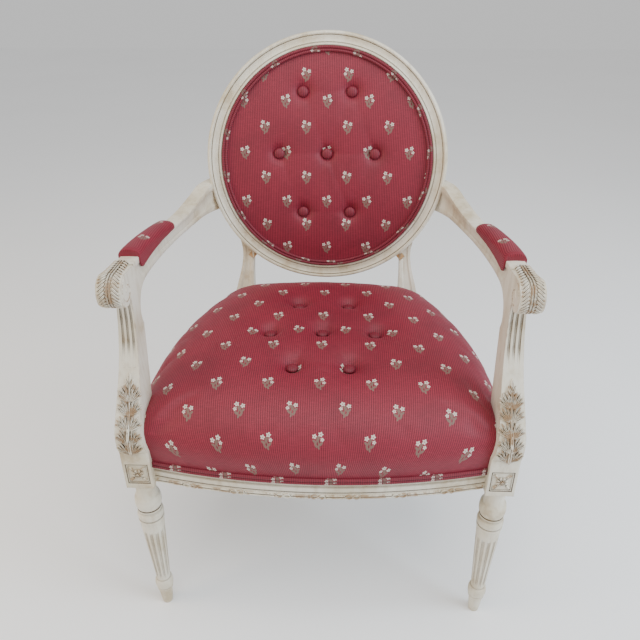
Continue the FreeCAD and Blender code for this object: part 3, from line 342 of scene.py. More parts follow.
def facing(place, out, along, long=1.0, wide=1.0, tall=1.0):
    """Put a pattern piece at a place: its length along `along`, its height along `out`."""
    out = Vector(out).normalized()
    along = Vector(along)
    along = (along - out * along.dot(out)).normalized()
    across = along.cross(out)
    turned = Matrix((across * wide, along * long, out * tall)).transposed()
    return Matrix.Translation(Vector(place) * MM) @ turned.to_4x4()


# Places on the chair


def clamped(value):
    return min(max(value, 0), 1)


def rounding(share):
    """A quarter round: 0 at 0, level from 1 on."""
    return math.sqrt(1 - (1 - min(1, share)) ** 2)


def smooth_between(rows, here):
    """Sizes along a piece at one place, on smooth curves through the given rows."""
    falling = rows[0][0] > rows[-1][0]
    rows = rows[::-1] if falling else rows
    here = min(max(here, rows[0][0]), rows[-1][0])
    at = 0
    while at < len(rows) - 2 and rows[at + 1][0] < here:
        at += 1

    def slope(index, column):
        low, high = max(index - 1, 0), min(index + 1, len(rows) - 1)
        return (rows[high][column] - rows[low][column]) / (rows[high][0] - rows[low][0])

    span = rows[at + 1][0] - rows[at][0]
    t = (here - rows[at][0]) / span
    found = [here]
    for column in range(1, len(rows[0])):
        a, b = rows[at][column], rows[at + 1][column]
        ma, mb = slope(at, column) * span, slope(at + 1, column) * span
        found.append(
            a * (2 * t**3 - 3 * t**2 + 1)
            + ma * (t**3 - 2 * t**2 + t)
            + b * (3 * t**2 - 2 * t**3)
            + mb * (t**3 - t**2)
        )
    return found


def back_place(u, v, n):
    """A place on the hollow back: u across, v up its slope, n out towards the sitter."""
    turn = u / bend_radius
    axis = Vector((0, *back_axis)) + back_front * bend_radius
    spoke = back_front * math.cos(turn) - Vector((1, 0, 0)) * math.sin(turn)
    return axis - spoke * (bend_radius - n) + back_up * v


def oval_place(angle, out, n):
    """A place beside the medallion's oval, `out` outside it and `n` proud of its face."""
    turn = math.radians(angle)
    u = oval_half_width * math.cos(turn)
    v = oval_centre + oval_half_height * math.sin(turn)
    nu, nv = math.cos(turn) / oval_half_width, math.sin(turn) / oval_half_height
    size = math.hypot(nu, nv)
    return back_place(u + nu / size * out, v + nv / size * out, n)


def oval_ring(count, inset, share):
    """Places (u, v) round the medallion's oval, `inset` inside it and then at a share of it."""
    found = []
    for k in range(count):
        turn = 2 * math.pi * k / count
        u = (oval_half_width - inset) * share * math.cos(turn)
        v = oval_centre + (oval_half_height - inset) * share * math.sin(turn)
        found.append((u, v))
    return found


def circles_meet(a, b, pick):
    gap = math.dist(a[:2], b[:2])
    along = (a[2] ** 2 - b[2] ** 2 + gap**2) / (2 * gap)
    off = math.sqrt(max(a[2] ** 2 - along**2, 0))
    ux, uy = (b[0] - a[0]) / gap, (b[1] - a[1]) / gap
    both = [(a[0] + ux * along + s * uy * off, a[1] + uy * along - s * ux * off) for s in (-1, 1)]
    return max(both, key=pick)


def arc_points(circle, start, end, count):
    """Points along an arc between two directions, the shorter way round."""
    x, y, radius = circle
    a = math.atan2(start[1] - y, start[0] - x)
    b = math.atan2(end[1] - y, end[0] - x)
    span = (b - a + math.pi) % (2 * math.pi) - math.pi
    turns = [a + span * k / count for k in range(count)]
    return [(x + radius * math.cos(turn), y + radius * math.sin(turn)) for turn in turns]


def seat_outline(out):
    """The seat's plan as an even ring of points, `out` outside the rails' faces."""
    # The corners keep their rounding down to 3 mm in. From there on the whole plan is scaled.
    edge = max(out, -3.0)
    scale = 1 + min(out + 3.0, 0) / seat_half_depth
    front = (0, front_bow_y, front_bow_radius + edge)
    rear = (0, rear_bow_y, rear_bow_radius + edge)
    left = (*side_centre, side_radius + edge)

    def inside(circle, corner):
        return (*circle[:2], circle[2] - corner)

    def touch(circle, centre):
        span = math.dist(circle[:2], centre)
        return tuple(circle[k] + (centre[k] - circle[k]) * circle[2] / span for k in (0, 1))

    turn_a = circles_meet(inside(front, front_corner), inside(left, front_corner), lambda p: -p[1])
    turn_b = circles_meet(inside(rear, rear_corner), inside(left, rear_corner), lambda p: -p[0])
    front_end, side_front = touch(front, turn_a), touch(left, turn_a)
    side_rear, rear_end = touch(left, turn_b), touch(rear, turn_b)
    front_middle = (0, front_bow_y - front[2])
    rear_middle = (0, rear_bow_y + rear[2])
    half = arc_points(front, front_middle, front_end, 34)
    half += arc_points((*turn_a, front_corner), front_end, side_front, 8)
    half += arc_points(left, side_front, side_rear, 40)
    half += arc_points((*turn_b, rear_corner), side_rear, rear_end, 10)
    half += arc_points(rear, rear_end, rear_middle, 20)
    ring = half + [rear_middle] + [(-x, y) for x, y in half[1:]][::-1]
    return [(x * scale, seat_middle_y + (y - seat_middle_y) * scale) for x, y in ring]


def support_front(z):
    """The front of the arm's support: a hollow that swells out again over the die."""
    y, middle_z, radius = support_hollow
    if z >= support_swell_z:
        return y + math.sqrt(radius**2 - (middle_z - z) ** 2)
    share = (z - die_high) / (support_swell_z - die_high)
    return support_foot_y - 9.3 * share + 16.2 * share**2


# Finishes


class Shade:
    """A value on its way through a finish. Working with it adds the nodes that do the sums."""

    def __init__(self, finish, socket):
        self.finish = finish
        self.socket = socket

    def __add__(self, other):
        return self.finish.math("ADD", self, other)

    def __sub__(self, other):
        return self.finish.math("SUBTRACT", self, other)

    def __rsub__(self, other):
        return self.finish.math("SUBTRACT", other, self)

    def __mul__(self, other):
        return self.finish.math("MULTIPLY", self, other)

    def __truediv__(self, other):
        return self.finish.math("DIVIDE", self, other)

    def __pow__(self, other):
        return self.finish.math("POWER", self, other)

    __radd__ = __add__
    __rmul__ = __mul__

    def within(self, low, high):
        """0 up to `low`, 1 from `high` on, and a smooth rise between them."""
        values = {"Value": self, "From Min": low, "From Max": high}
        return self.finish.node("ShaderNodeMapRange", {"interpolation_type": "SMOOTHSTEP"}, values)

    def wave(self, pitch):
        """Up and down between 0 and 1, once in every `pitch`."""
        return self.finish.math("SINE", self * (2 * math.pi / pitch)) * 0.5 + 0.5


class Finish:
    """One procedural material, built from the nodes that its own sums call for."""

    def __init__(self, name):
        self.material = bpy.data.materials.new(name)
        self.material.use_nodes = True
        self.tree = self.material.node_tree
        self.surface = self.tree.nodes["Principled BSDF"]

    def node(self, kind, settings=None, values=(), out=0):
        made = self.tree.nodes.new(kind)
        for key, value in (settings or {}).items():
            setattr(made, key, value)
        pairs = values.items() if isinstance(values, dict) else enumerate(values)
        for key, value in pairs:
            self.feed(made.inputs[key], value)
        return Shade(self, made.outputs[out])

    def math(self, operation, *values):
        return self.node("ShaderNodeMath", {"operation": operation}, values)

    def feed(self, socket, value):
        if isinstance(value, Shade):
            self.tree.links.new(value.socket, socket)
        else:
            socket.default_value = value

    def set(self, **values):
        for key, value in values.items():
            self.feed(self.surface.inputs[key.replace("_", " ").title()], value)

    def place(self):
        return self.node("ShaderNodeTexCoord", out="Object")

    def cloth_lay(self):
        return self.node("ShaderNodeUVMap", {"uv_map": "cloth_lay"})

    def stretched(self, vector, scale):
        return self.node("ShaderNodeVectorMath", {"operation": "MULTIPLY"}, [vector, scale])

    def parts(self, vector):
        split = self.tree.nodes.new("ShaderNodeSeparateXYZ")
        self.tree.links.new(vector.socket, split.inputs[0])
        return [Shade(self, split.outputs[k]) for k in range(3)]

    def noise(self, vector, scale, detail=3.0, roughness=0.55):
        values = {"Vector": vector, "Scale": scale, "Detail": detail, "Roughness": roughness}
        return self.node("ShaderNodeTexNoise", None, values)

    def mix(self, share, first, second):
        values = {0: share, 6: first, 7: second}
        return self.node("ShaderNodeMix", {"data_type": "RGBA"}, values, out=2)

    def openness(self, reach, inside=False):
        """1 in the open, less in grooves; measured inside the wood, less towards its arrises."""
        settings = {"only_local": True, "inside": inside, "samples": 8}
        return self.node("ShaderNodeAmbientOcclusion", settings, {"Distance": reach}, out="AO")

    def relief(self, height, depth, strength=1.0):
        """Fine relief of a height from 0 to 1, `depth` millimetres deep."""
        values = {"Strength": strength, "Distance": depth * MM, "Height": height}
        self.feed(self.surface.inputs["Normal"], self.node("ShaderNodeBump", None, values))


def colour(red, green, blue):
    """A colour as the eye reads it, 0 to 255, for the shader."""
    parts = []
    for part in (red, green, blue):
        part = part / 255
        parts.append(part / 12.92 if part <= 0.04045 else ((part + 0.055) / 1.055) ** 2.4)
    return (*parts, 1.0)


def painted_wood():
    """Old cream paint: dark glaze and painted shade in the grooves, rubbed through to the wood on
    the arrises.
    """
    finish = Finish("antique_cream_paint")
    place = finish.place()
    cloud = finish.noise(place, 9.0, 4.0)
    streak = finish.noise(finish.stretched(place, (60, 60, 14)), 1.6, 4.0)
    speck = finish.noise(place, 210.0, 3.0, 0.7)
    fine = finish.noise(place, 65.0, 4.0, 0.65)
    # glaze in the grooves, made darker than the glaze alone as painted shade
    groove_glaze_and_shade = (1 - finish.openness(0.010)).within(0.06, 0.42)
    # painted shade: near black at the bottom of the narrow cuts, where light hardly reaches
    deep = (1 - finish.openness(0.004)).within(0.14, 0.5)
    arris = (1 - finish.openness(0.0035, inside=True)).within(0.36, 0.6)
    rubbed = arris * fine.within(0.42, 0.58)
    patch = (cloud * 0.6 + fine * 0.4).within(0.53, 0.64)
    paint = finish.mix(cloud.within(0.35, 0.7), colour(220, 214, 198), colour(198, 186, 160))
    for where, strength, tone in (
        (streak.within(0.45, 0.8), 0.45, (172, 152, 118)),  # brushed glaze
        (groove_glaze_and_shade * (0.5 + 0.6 * fine), 0.85, (124, 102, 74)),  # glaze left in the grooves, darkened further as painted shade
        (deep, 0.9, (62, 48, 36)),  # painted shade at the bottom of the cuts
        (rubbed, 0.8, (140, 106, 68)),  # wood on the arrises
        (patch, 0.4, (158, 132, 94)),  # worn patches
        (speck.within(0.7, 0.78), 0.5, (120, 98, 72)),
    ):
        paint = finish.mix(where * strength, paint, colour(*tone))
    finish.set(base_color=paint, roughness=0.42 + 0.2 * fine, coat_weight=0.12, coat_roughness=0.35)
    finish.relief(0.6 * fine + 0.4 * streak - 0.5 * rubbed, 0.5, 0.5)
    return finish.material


def bare_wood():
    """Beech inside the frame: pale brown, fine grain with short dark flecks."""
    finish = Finish("bare_beech")
    place = finish.place()
    grain = finish.noise(finish.stretched(place, (14, 140, 140)), 1.0, 5.0)
    fleck = finish.noise(finish.stretched(place, (120, 900, 900)), 1.0, 2.0)
    wood = finish.mix(grain.within(0.3, 0.75), colour(196, 158, 112), colour(160, 118, 74))
    wood = finish.mix(fleck.within(0.62, 0.72) * 0.5, wood, colour(112, 78, 46))
    finish.set(base_color=wood, roughness=0.55 + 0.15 * grain)
    finish.relief(grain, 0.3, 0.5)
    return finish.material


def petals(x, y, middle, size):
    """One blossom of five petals, 1 inside it."""
    dx, dy = x - middle[0], y - middle[1]
    reach = (dx * dx + dy * dy) ** 0.5
    lobe = x.finish.math("COSINE", x.finish.math("ARCTAN2", dy, dx) * 5.0)
    return 1 - (reach - size * (0.8 + 0.2 * lobe)).within(-0.25, 0.25)


def leaf(x, y, middle, size, slant=0):
    """One pointed leaf, 1 inside it."""
    c, s = math.cos(slant), math.sin(slant)
    dx, dy = x - middle[0], y - middle[1]
    along = (dx * c + dy * s) / size[0]
    across = (dy * c - dx * s) / size[1]
    return 1 - (along * along + across * across).within(0.8, 1.15)


def most(masks):
    found = masks[0]
    for mask in masks[1:]:
        found = found.finish.math("MAXIMUM", found, mask)
    return found


def sprigged_cloth(name, painted_shade=0.0, start=(0.0, 0.101)):
    """Crimson ribbed silk with small woven sprigs in staggered rows. A copy can be mixed darker all
    over, as painted shade.
    """
    finish = Finish(name)
    lay = finish.cloth_lay()
    u, v, _ = finish.parts(lay)
    u = (u - start[0]) * 1000.0
    v = (v - start[1]) * 1000.0
    row = finish.math("ROUND", v / sprig_row)
    odd = finish.math("PINGPONG", row, 1.0)
    y = v - row * sprig_row
    shifted = u - odd * (sprig_column / 2)
    column = finish.math("ROUND", shifted / sprig_column)
    x = (shifted - column * sprig_column) * (1 - 2 * odd)
    blossoms = most([petals(x, y, middle, size) for middle, size, eye in sprig_blossoms])
    eyes = most([leaf(x, y, middle, (eye, eye)) for middle, size, eye in sprig_blossoms])
    leaves = most([leaf(x, y, middle, size, slant) for middle, size, slant in sprig_leaves])
    rib, pick = u.wave(rib_pitch), v.wave(pick_pitch)
    slub = finish.noise(finish.stretched(lay, (60, 900, 1)), 1.0, 3.0)
    drift = finish.noise(lay, 14.0, 3.0)
    weave = rib * 0.6 + rib * pick * 0.4
    thread = pick * 0.5 + 0.5 * slub
    cloth = finish.mix(weave, colour(84, 8, 26), colour(146, 24, 48))
    for where, tone in (
        (slub.within(0.4, 0.75) * 0.3, (160, 40, 62)),
        (drift.within(0.4, 0.75) * 0.3, (80, 6, 22)),
        (leaves * (0.7 + 0.3 * thread), (112, 92, 80)),
        (blossoms * (0.78 + 0.22 * thread), (206, 196, 184)),
        (eyes * 0.8, (120, 92, 72)),
    ):
        cloth = finish.mix(where, cloth, colour(*tone))
    # painted shade: this copy of the cloth is mixed darker all over
    if painted_shade:
        cloth = finish.mix(painted_shade, cloth, colour(70, 8, 22))
    finish.set(base_color=cloth, roughness=0.5 + 0.2 * (1 - weave))
    finish.set(sheen_weight=0.15, sheen_roughness=0.4, sheen_tint=colour(230, 120, 140))
    finish.relief(weave * 0.6 + most([blossoms, leaves]) * 0.4, 0.35, 0.6)
    return finish.material


def plain_cloth(name, light, dark, pitch, depth=0.3):
    """A plain weave from crossing threads."""
    finish = Finish(name)
    place = finish.place()
    x, y, z = finish.parts(place)
    weave = (x + z * 0.3).wave(pitch) * 0.5 + (y + z).wave(pitch) * 0.5
    slub = finish.noise(place, 90.0, 4.0)
    cloth = finish.mix(weave * 0.7 + slub * 0.3, dark, light)
    finish.set(base_color=cloth, roughness=0.75 + 0.15 * slub)
    finish.relief(weave, depth, 0.6)
    return finish.material


def floor_finish():
    finish = Finish("pale_floor")
    cloud = finish.noise(finish.place(), 1.5, 2.0)
    floor = finish.mix(cloud, colour(246, 246, 246), colour(252, 252, 252))
    finish.set(base_color=floor, roughness=0.75)
    return finish.material


paint = painted_wood()
beech = bare_wood()
cloth = sprigged_cloth("sprigged_crimson_silk")
seat_cloth = sprigged_cloth("sprigged_crimson_silk_seat", start=(0.0, -0.03))
# painted shade: the buttons and welts get a darker copy of the same cloth
shaded_button_cloth = sprigged_cloth("sprigged_crimson_silk_buttons", painted_shade=0.25, start=(0.03, 0.02))
black_cloth = plain_cloth("black_cambric", colour(46, 44, 44), colour(20, 19, 19), 0.0016)
jute = plain_cloth("jute_webbing", colour(186, 152, 104), colour(122, 92, 56), 0.004, 0.6)
burlap = plain_cloth("hessian", colour(176, 146, 104), colour(110, 84, 54), 0.0026, 0.6)


def finished(obj, material, slot, *nodes, degrees=35):
    """Give a piece its finish, its place on the chair and the nodes that it stands for."""
    obj.data.materials.clear()
    obj.data.materials.append(material)
    take(obj)
    bpy.ops.object.shade_smooth_by_angle(angle=math.radians(degrees))
    if "cloth" in obj.data.attributes:
        obj.data.attributes.remove(obj.data.attributes["cloth"])
    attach(obj, "root")
    if nodes:
        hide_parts(*nodes)
    return obj


def pair(left, material, slot, *nodes, degrees=35):
    """Finish a left-hand piece and its right-hand twin."""
    right = mirror_twin(left)
    finished(left, material, slot, *[node + "_left" for node in nodes], degrees=degrees)
    finished(right, material, slot, *[node + "_right" for node in nodes], degrees=degrees)
    return left, right


# Cushions


def dips(x, y, tufts, depth, fall):
    """How far the cloth is drawn down at a place, by the buttons and by the pleats between."""
    found = 0
    for tx, ty in tufts:
        span = math.hypot(x - tx, y - ty)
        found = max(found, depth * math.exp(-max(span - tuft_floor, 0) / fall))
    for a, b in tuft_neighbours:
        ax, ay = tufts[a]
        bx, by = tufts[b]
        length = math.dist((ax, ay), (bx, by))
        share = ((x - ax) * (bx - ax) + (y - ay) * (by - ay)) / length**2
        if 0 < share < 1:
            off = math.hypot(x - ax - share * (bx - ax), y - ay - share * (by - ay))
            crease = math.exp(-((off / pleat_half) ** 2)) * (0.35 + 0.65 * (2 * share - 1) ** 2)
            found += pleat_depth * crease * min(share, 1 - share, 0.15) / 0.15
    return found


def seat_cushion():
    rows = list(seat_side)
    for step in range(1, crown_steps + 1):
        inset = crown_reach * (step / crown_steps) ** 1.15
        rows.append((-inset, smooth_between(seat_crown, inset)[1]))
    outlines = [seat_outline(out) for out, z in rows]
    # The cloth is measured over its surface, outwards from the middle of the seat.
    middle = Vector((0, seat_middle_y))
    lengths = [[0.0] * len(outlines[0])]
    for step in range(len(rows) - 1, 0, -1):
        fall = rows[step - 1][1] - rows[step][1]
        ways = zip(lengths[0], outlines[step], outlines[step - 1])
        lengths.insert(0, [run + math.hypot(math.dist(a, b), fall) for run, a, b in ways])
    rings, lay = [], []
    for step, (out, z) in enumerate(rows):
        ring, cloth_ring = [], []
        for k, (x, y) in enumerate(outlines[step]):
            low = dips(x, y, seat_tufts, seat_tuft_depth, seat_tuft_fall) if out <= -8 else 0
            ripple = 0
            if 6 < step < 24:
                ripple = 0.35 * math.sin(k * 0.9 + step * 0.35) * math.sin(step * 0.4)
            ring.append((x, y, z - low + ripple))
            start = Vector(outlines[-1][k]) - middle
            way = Vector((x, y)) - middle
            way = way.normalized() if way.length > 1 else start
            reach = start.length + lengths[step][k]
            cloth_ring.append((way.x * reach, seat_middle_y + way.y * reach, 0))
        rings.append(ring)
        lay.append(cloth_ring)
    return drawn_out("seat_cushion", rings, lay)


def back_rise(u, v):
    """How proud the back's cushion stands, before its tufts are drawn in."""
    reach = math.hypot(u / oval_half_width, (v - oval_centre) / oval_half_height)
    reach = reach / (1 - 12 / oval_half_width)
    return -2.2 + 17 * max(0, 1 - reach**2.4)


def back_cushion():
    """The base has rings of its own: one flat base would cut through the hollow of the front."""
    rows = [(share, back_base) for share in back_base_shares]
    rows += [(1 - step / (back_steps + 0.5), None) for step in range(back_steps + 1)]
    rings, lay = [], []
    for share, base in rows:
        ring, cloth_ring = [], []
        for u, v in oval_ring(back_around, 1.2, share):
            n = base or back_rise(u, v) - dips(u, v, back_tufts, back_tuft_depth, back_tuft_fall)
            ring.append(back_place(u, v, n))
            cloth_ring.append((u, v, 0))
        rings.append(ring)
        lay.append(cloth_ring)
    return drawn_out("back_cushion", rings, lay)


def tube(name, path, radius, sides=10, lay_start=(0.0, 0.0)):
    """A covered cord along a row of (place, out, up), its cloth laid along it."""
    rings, lay = [], []
    run = 0.0
    for step, (place, out, up) in enumerate(path):
        if step:
            run += (Vector(place) - Vector(path[step - 1][0])).length
        ring, cloth_ring = [], []
        for k in range(sides):
            turn = 2 * math.pi * k / sides + math.pi
            off = Vector(out) * (radius * math.cos(turn))
            ring.append(Vector(place) + off + Vector(up) * (radius * math.sin(turn)))
            cloth_ring.append((lay_start[0] + run, lay_start[1] + radius * (turn - math.pi), 0))
        rings.append(ring)
        lay.append(cloth_ring)
    return drawn_out(name, rings, lay)


def seat_welt_cord(name, lift):
    """One level cord round the whole seat, with its seam at the middle of the back."""
    ring = seat_outline(1.2)
    count = len(ring)
    path = []
    for step in range(count + 1):
        k = (step + count // 2) % count
        x, y = ring[k]
        run = (Vector(ring[(k + 1) % count]) - Vector(ring[k - 1])).normalized()
        out = Vector((run.y, -run.x, 0))
        if out.dot(Vector((x, y - seat_middle_y, 0))) < 0:
            out = -out
        path.append((Vector((x, y, welt_z + lift)), out, (0, 0, 1)))
    place, out, up = path[-1]
    path[-1] = (place + Vector((0.2, 0, 0)), out, up)
    return tube(name, path, welt_radius, lay_start=(0, 12))


def oval_cord(name, out, n, radius, start=(0, 0)):
    """One cord round the medallion, with its seam at the bottom."""
    path = []
    for step in range(181):
        angle = 270 + 359.9 * step / 180
        here = oval_place(angle, out, n)
        outward = (oval_place(angle, out + 1, n) - oval_place(angle, out - 1, n)).normalized()
        front = (oval_place(angle, out, n + 1) - here).normalized()
        path.append((here, outward, front))
    return tube(name, path, radius, lay_start=start)


def button_pattern():
    """A covered button: a round drawn up to a low dome over a flat back."""
    deselect()
    bpy.ops.mesh.primitive_circle_add(vertices=28, radius=button_radius * MM, fill_type="NGON")
    obj = named("button_pattern")
    open_mesh(obj)
    for rise, scale in button_dome:
        bpy.ops.mesh.extrude_region_move(TRANSFORM_OT_translate={"value": (0, 0, rise * MM)})
        bpy.ops.transform.resize(value=(scale, scale, 1), center_override=(0, 0, 0))
    close_mesh(turn_out=True)
    layer = obj.data.uv_layers.new(name="cloth_lay")
    for loop in obj.data.loops:
        place = obj.data.vertices[loop.vertex_index].co
        layer.data[loop.index].uv = (place.x, place.y)
    return obj


def plumped(obj, held, cap, pressure):
    """Let the stuffing press the cloth out between its stitches: a simulation, kept as the shape.
    No place moves further than `cap` millimetres."""
    before = [vert.co.copy() for vert in obj.data.vertices]
    group = obj.vertex_groups.new(name="stitched")
    for vert in obj.data.vertices:
        group.add([vert.index], held(vert.co / MM), "REPLACE")
    take(obj)
    modifier = obj.modifiers.new("Cloth", "CLOTH")
    modifier.settings.quality = 6
    modifier.settings.mass = 0.3
    modifier.settings.use_pressure = True
    modifier.settings.uniform_pressure_force = pressure
    modifier.settings.vertex_group_mass = "stitched"
    modifier.settings.effector_weights.gravity = 0
    modifier.point_cache.frame_start = 1
    modifier.point_cache.frame_end = 20
    for number in range(1, 21):
        bpy.context.scene.frame_set(number)
    bpy.ops.object.modifier_apply(modifier=modifier.name)
    bpy.context.scene.frame_set(1)
    for vert, old in zip(obj.data.vertices, before):
        move = vert.co - old
        if move.length > cap * MM:
            vert.co = old + move.normalized() * (cap * MM)
    obj.vertex_groups.clear()
    return obj


def seat_held(place):
    """1 where the seat's cloth is nailed or stitched down, 0 where it is free."""
    edge = 1 - clamped((place.z - 396) / 26)
    stitched = seat_tufts + [(0, seat_middle_y)]
    near = min(math.hypot(place.x - x, place.y - y) for x, y in stitched)
    return max(edge, 1 - clamped((near - 12) / 14))


def back_held(place):
    """The same for the back, judged on its oval."""
    stitched = back_tufts + [(0, oval_centre)]
    near = min((place - back_place(u, v, 3)).length for u, v in stitched)
    u = bend_radius * math.asin(place.x / bend_radius)
    v = (place - Vector((0, *back_axis))).dot(back_up)
    reach = math.hypot(u / oval_half_width, (v - oval_centre) / oval_half_height)
    return max(clamped((reach - 0.84) / 0.1), 1 - clamped((near - 12) / 12))


def seat_top(x, y):
    """The height of the crown over a place, before the tufts are drawn in."""
    spot = Vector((x, y - seat_middle_y))
    ahead = spot.normalized() if spot.length > 0.01 else Vector((0, -1))
    edge = [Vector((a, b - seat_middle_y)) for a, b in seat_outline(0)]
    rim = max(edge, key=lambda p: p.normalized().dot(ahead))
    inset = (1 - spot.length / rim.length) * seat_half_depth
    return smooth_between(seat_crown, inset)[1]


def buttons():
    pattern = button_pattern()
    seat_places, back_places = [], []
    for x, y in seat_tufts:
        slope_x = (seat_top(x + 15, y) - seat_top(x - 15, y)) / 30
        slope_y = (seat_top(x, y + 15) - seat_top(x, y - 15)) / 30
        up = Vector((-slope_x, -slope_y, 1)).normalized()
        place = Vector((x, y, seat_top(x, y))) - up * seat_button_sink
        seat_places.append(facing(place, up, (0, 1, 0)))
    for u, v in back_tufts:
        here = back_place(u, v, 0)
        front = (back_place(u, v, 1) - here).normalized()
        place = here + front * (back_rise(u, v) - back_button_sink)
        back_places.append(facing(place, front, (0, 0, 1)))
    seat = copied(pattern, seat_places, "seat_button_set")
    back = copied(pattern, back_places, "back_button_set")
    drop(pattern)
    finished(seat, shaded_button_cloth, "sprigged_fabric", "seat_buttons", degrees=60)
    finished(back, shaded_button_cloth, "sprigged_fabric", "back_buttons", degrees=60)


def arm_station(y):
    """Place, outward direction, top and underside of the left arm at one y."""
    here = smooth_between(arm_line, y)
    before, after = smooth_between(arm_line, y + 2), smooth_between(arm_line, y - 2)
    run = Vector((after[1] - before[1], after[0] - before[0], 0)).normalized()
    across = Vector((run.y, -run.x, 0))
    if across.x > 0:
        across = -across
    return Vector((here[1], here[0], 0)), across, here[2], here[3]


def arm_pad():
    """The left arm's pad: a full round top whose skirts deepen towards the front."""
    rings, lay = [], []
    length = pad_rear_y - pad_front_y
    middle = arm_width / 2
    for step in range(pad_steps + 1):
        share = step / pad_steps
        y = pad_rear_y - length * share
        here, across, top, low = arm_station(y)
        # The rear end tapers off. The front end is cut short, with a rounded and drooping tip.
        swell = rounding(share * 7.5)
        height = pad_height * (swell * (0.86 + 0.14 * rounding((1 - share) * 26)))
        droop = 0.5 + 0.5 * rounding((1 - share) * 13)
        skirt = 2 + 20 * share**1.25 * min(1, share * 4) * droop
        half = (middle + pad_overhang) * (0.45 + 0.55 * swell)
        section = [(-half, -skirt), (-half, -skirt * 0.5), (-half * 1.01, 0)]
        for k in range(1, 14):
            turn = math.pi * (1 - k / 14)
            side = math.copysign(abs(math.cos(turn)) ** 0.88, math.cos(turn))
            section.append((half * 1.02 * side, height * math.sin(turn) ** 0.9 + 0.2))
        section += [(half * 1.01, 0), (half, -skirt * 0.5), (half, -skirt)]
        inner = half - pad_hem
        section += [(inner, -skirt - 0.2), (inner, -1), (-inner, -1), (-inner, -skirt - 0.2)]
        ring, cloth_ring = [], []
        run = 0.0
        for k, (a, h) in enumerate(section):
            if k:
                run += math.dist(section[k - 1], (a, h))
            ring.append(here + across * (middle + a) + Vector((0, 0, top + h)))
            cloth_ring.append((run - 34, y, 0))
        rings.append(ring)
        lay.append(cloth_ring)
    return drawn_out("arm_pad_left", rings, lay)


def outer_back_cloth():
    """The plain cloth stretched over the back of the medallion, following its hollow."""
    rows = [(share, -31.5) for share in outer_cloth_shares]
    rows += [(share, -32.6) for share in outer_cloth_shares[::-1]]
    rings = [[back_place(u, v, n) for u, v in oval_ring(96, 2, share)] for share, n in rows]
    return drawn_out("outer_back_cloth", rings)


def dust_cloth():
    """The black cloth tacked under the seat, drawn up a little between the rails."""
    rings = [[(x, y, z) for x, y in seat_outline(out)] for out, z in dust_rows]
    return drawn_out("dust_cloth", rings)


# Show-wood


def bead(middle, swell, low, high, parts=8):
    """A half-round bead on a turning, as rows of (height, radius)."""
    turns = [math.pi * k / parts for k in range(parts + 1)]
    heights = [low + (high - low) * (1 - math.cos(turn)) / 2 for turn in turns]
    return [(z, middle + swell * math.sin(turn)) for z, turn in zip(heights, turns)]


def leg_profile():
    """The turning from the foot up, as rows of (height, radius)."""
    # Toe and ankle
    rows = [(0, 8.0), (0.6, 9.0), (12, 10.4), (26, 11.7), (40, 12.6)]
    rows += [(41, 14.4), (44, 14.8), (45.5, 13.6)]
    rows += bead(13.6, 2.9, 46, 68.5)
    rows += [(69, 12.4), (72, 12.6)]
    # Fluted shaft
    for k in range(17):
        z = 75 + 133 * k / 16
        rows.append((z, 12.4 + (z - 69) * 8.6 / 160))
    # Collar with its two beads
    rows += [(212, 20.1), (229, 21.0), (230, 22.0), (234, 22.0), (235, 20.4)]
    rows += bead(20.2, 2.4, 235.5, 250)
    rows += [(251, 19.2), (253, 18.8), (255, 20.6), (258.4, 20.8), (259, 19.0)]
    rows += bead(19.0, 3.6, 260, 287.5)
    # Neck under the die
    rows += [(288.5, 18.4), (293, 17.3), (303, 16.7), (312, 17.6), (317, 19.4), (321.5, 20.4)]
    return rows


def front_leg():
    """The left front leg: turned, fluted, with its die and sunk panels."""
    offsets = (-0.5, -0.34, -0.3, -0.25, -0.17, -0.08, 0, 0.08, 0.17, 0.25, 0.3, 0.34)
    foot_depth, deepening = flute_depth
    rings = []
    for z, radius in leg_profile():
        up = z - flute_low
        depth = foot_depth + up / (flute_high - flute_low) * deepening
        depth = depth * (clamped(up / 6) * clamped((flute_high - z) / 5))
        ring = []
        for flute in range(flute_count):
            for offset in offsets:
                sink = math.sqrt(max(1 - (offset / flute_half) ** 2, 0)) * depth
                turn = 2 * math.pi * (flute + offset) / flute_count
                reach = radius - sink
                ring.append((-leg_x + reach * math.cos(turn), leg_y + reach * math.sin(turn), z))
        rings.append(ring)
    return joined([drawn_out("turning", rings), die()], "front_leg_turned_left")


def die():
    """The square block over the left leg, its front and outer side sunk in steps."""
    deselect()
    bpy.ops.mesh.primitive_cube_add(size=1)
    obj = named("die")
    open_mesh(obj)
    width, height = 2 * die_half * MM, (die_high - die_low) * MM
    bpy.ops.transform.resize(value=(width, width, height))
    for place, normal in (
        ((0, 0, panel_low - die_middle), (0, 0, 1)),
        ((0, 0, panel_high - die_middle), (0, 0, 1)),
        ((-panel_half_width, 0, 0), (1, 0, 0)),
        ((panel_half_width, 0, 0), (1, 0, 0)),
        ((0, -panel_half_width, 0), (0, 1, 0)),
        ((0, panel_half_width, 0), (0, 1, 0)),
    ):
        bpy.ops.mesh.select_all(action="SELECT")
        bpy.ops.mesh.bisect(plane_co=Vector(place) * MM, plane_no=normal)
    for normal in (Vector((0, -1, 0)), Vector((-1, 0, 0))):
        for sink, narrow in panel_steps:
            choose_panel(obj, normal)
            move = {"value": normal * (-sink * MM)}
            bpy.ops.mesh.extrude_region_move(TRANSFORM_OT_translate=move)
            bpy.ops.mesh.inset(thickness=narrow * MM, depth=0)
    close_mesh()
    obj.data.transform(Matrix.Translation(Vector((-leg_x, leg_y, die_middle)) * MM))
    arris = {"limit_method": "ANGLE", "angle_limit": math.radians(60)}
    applied(obj, "BEVEL", width=0.7 * MM, segments=2, **arris)
    return obj


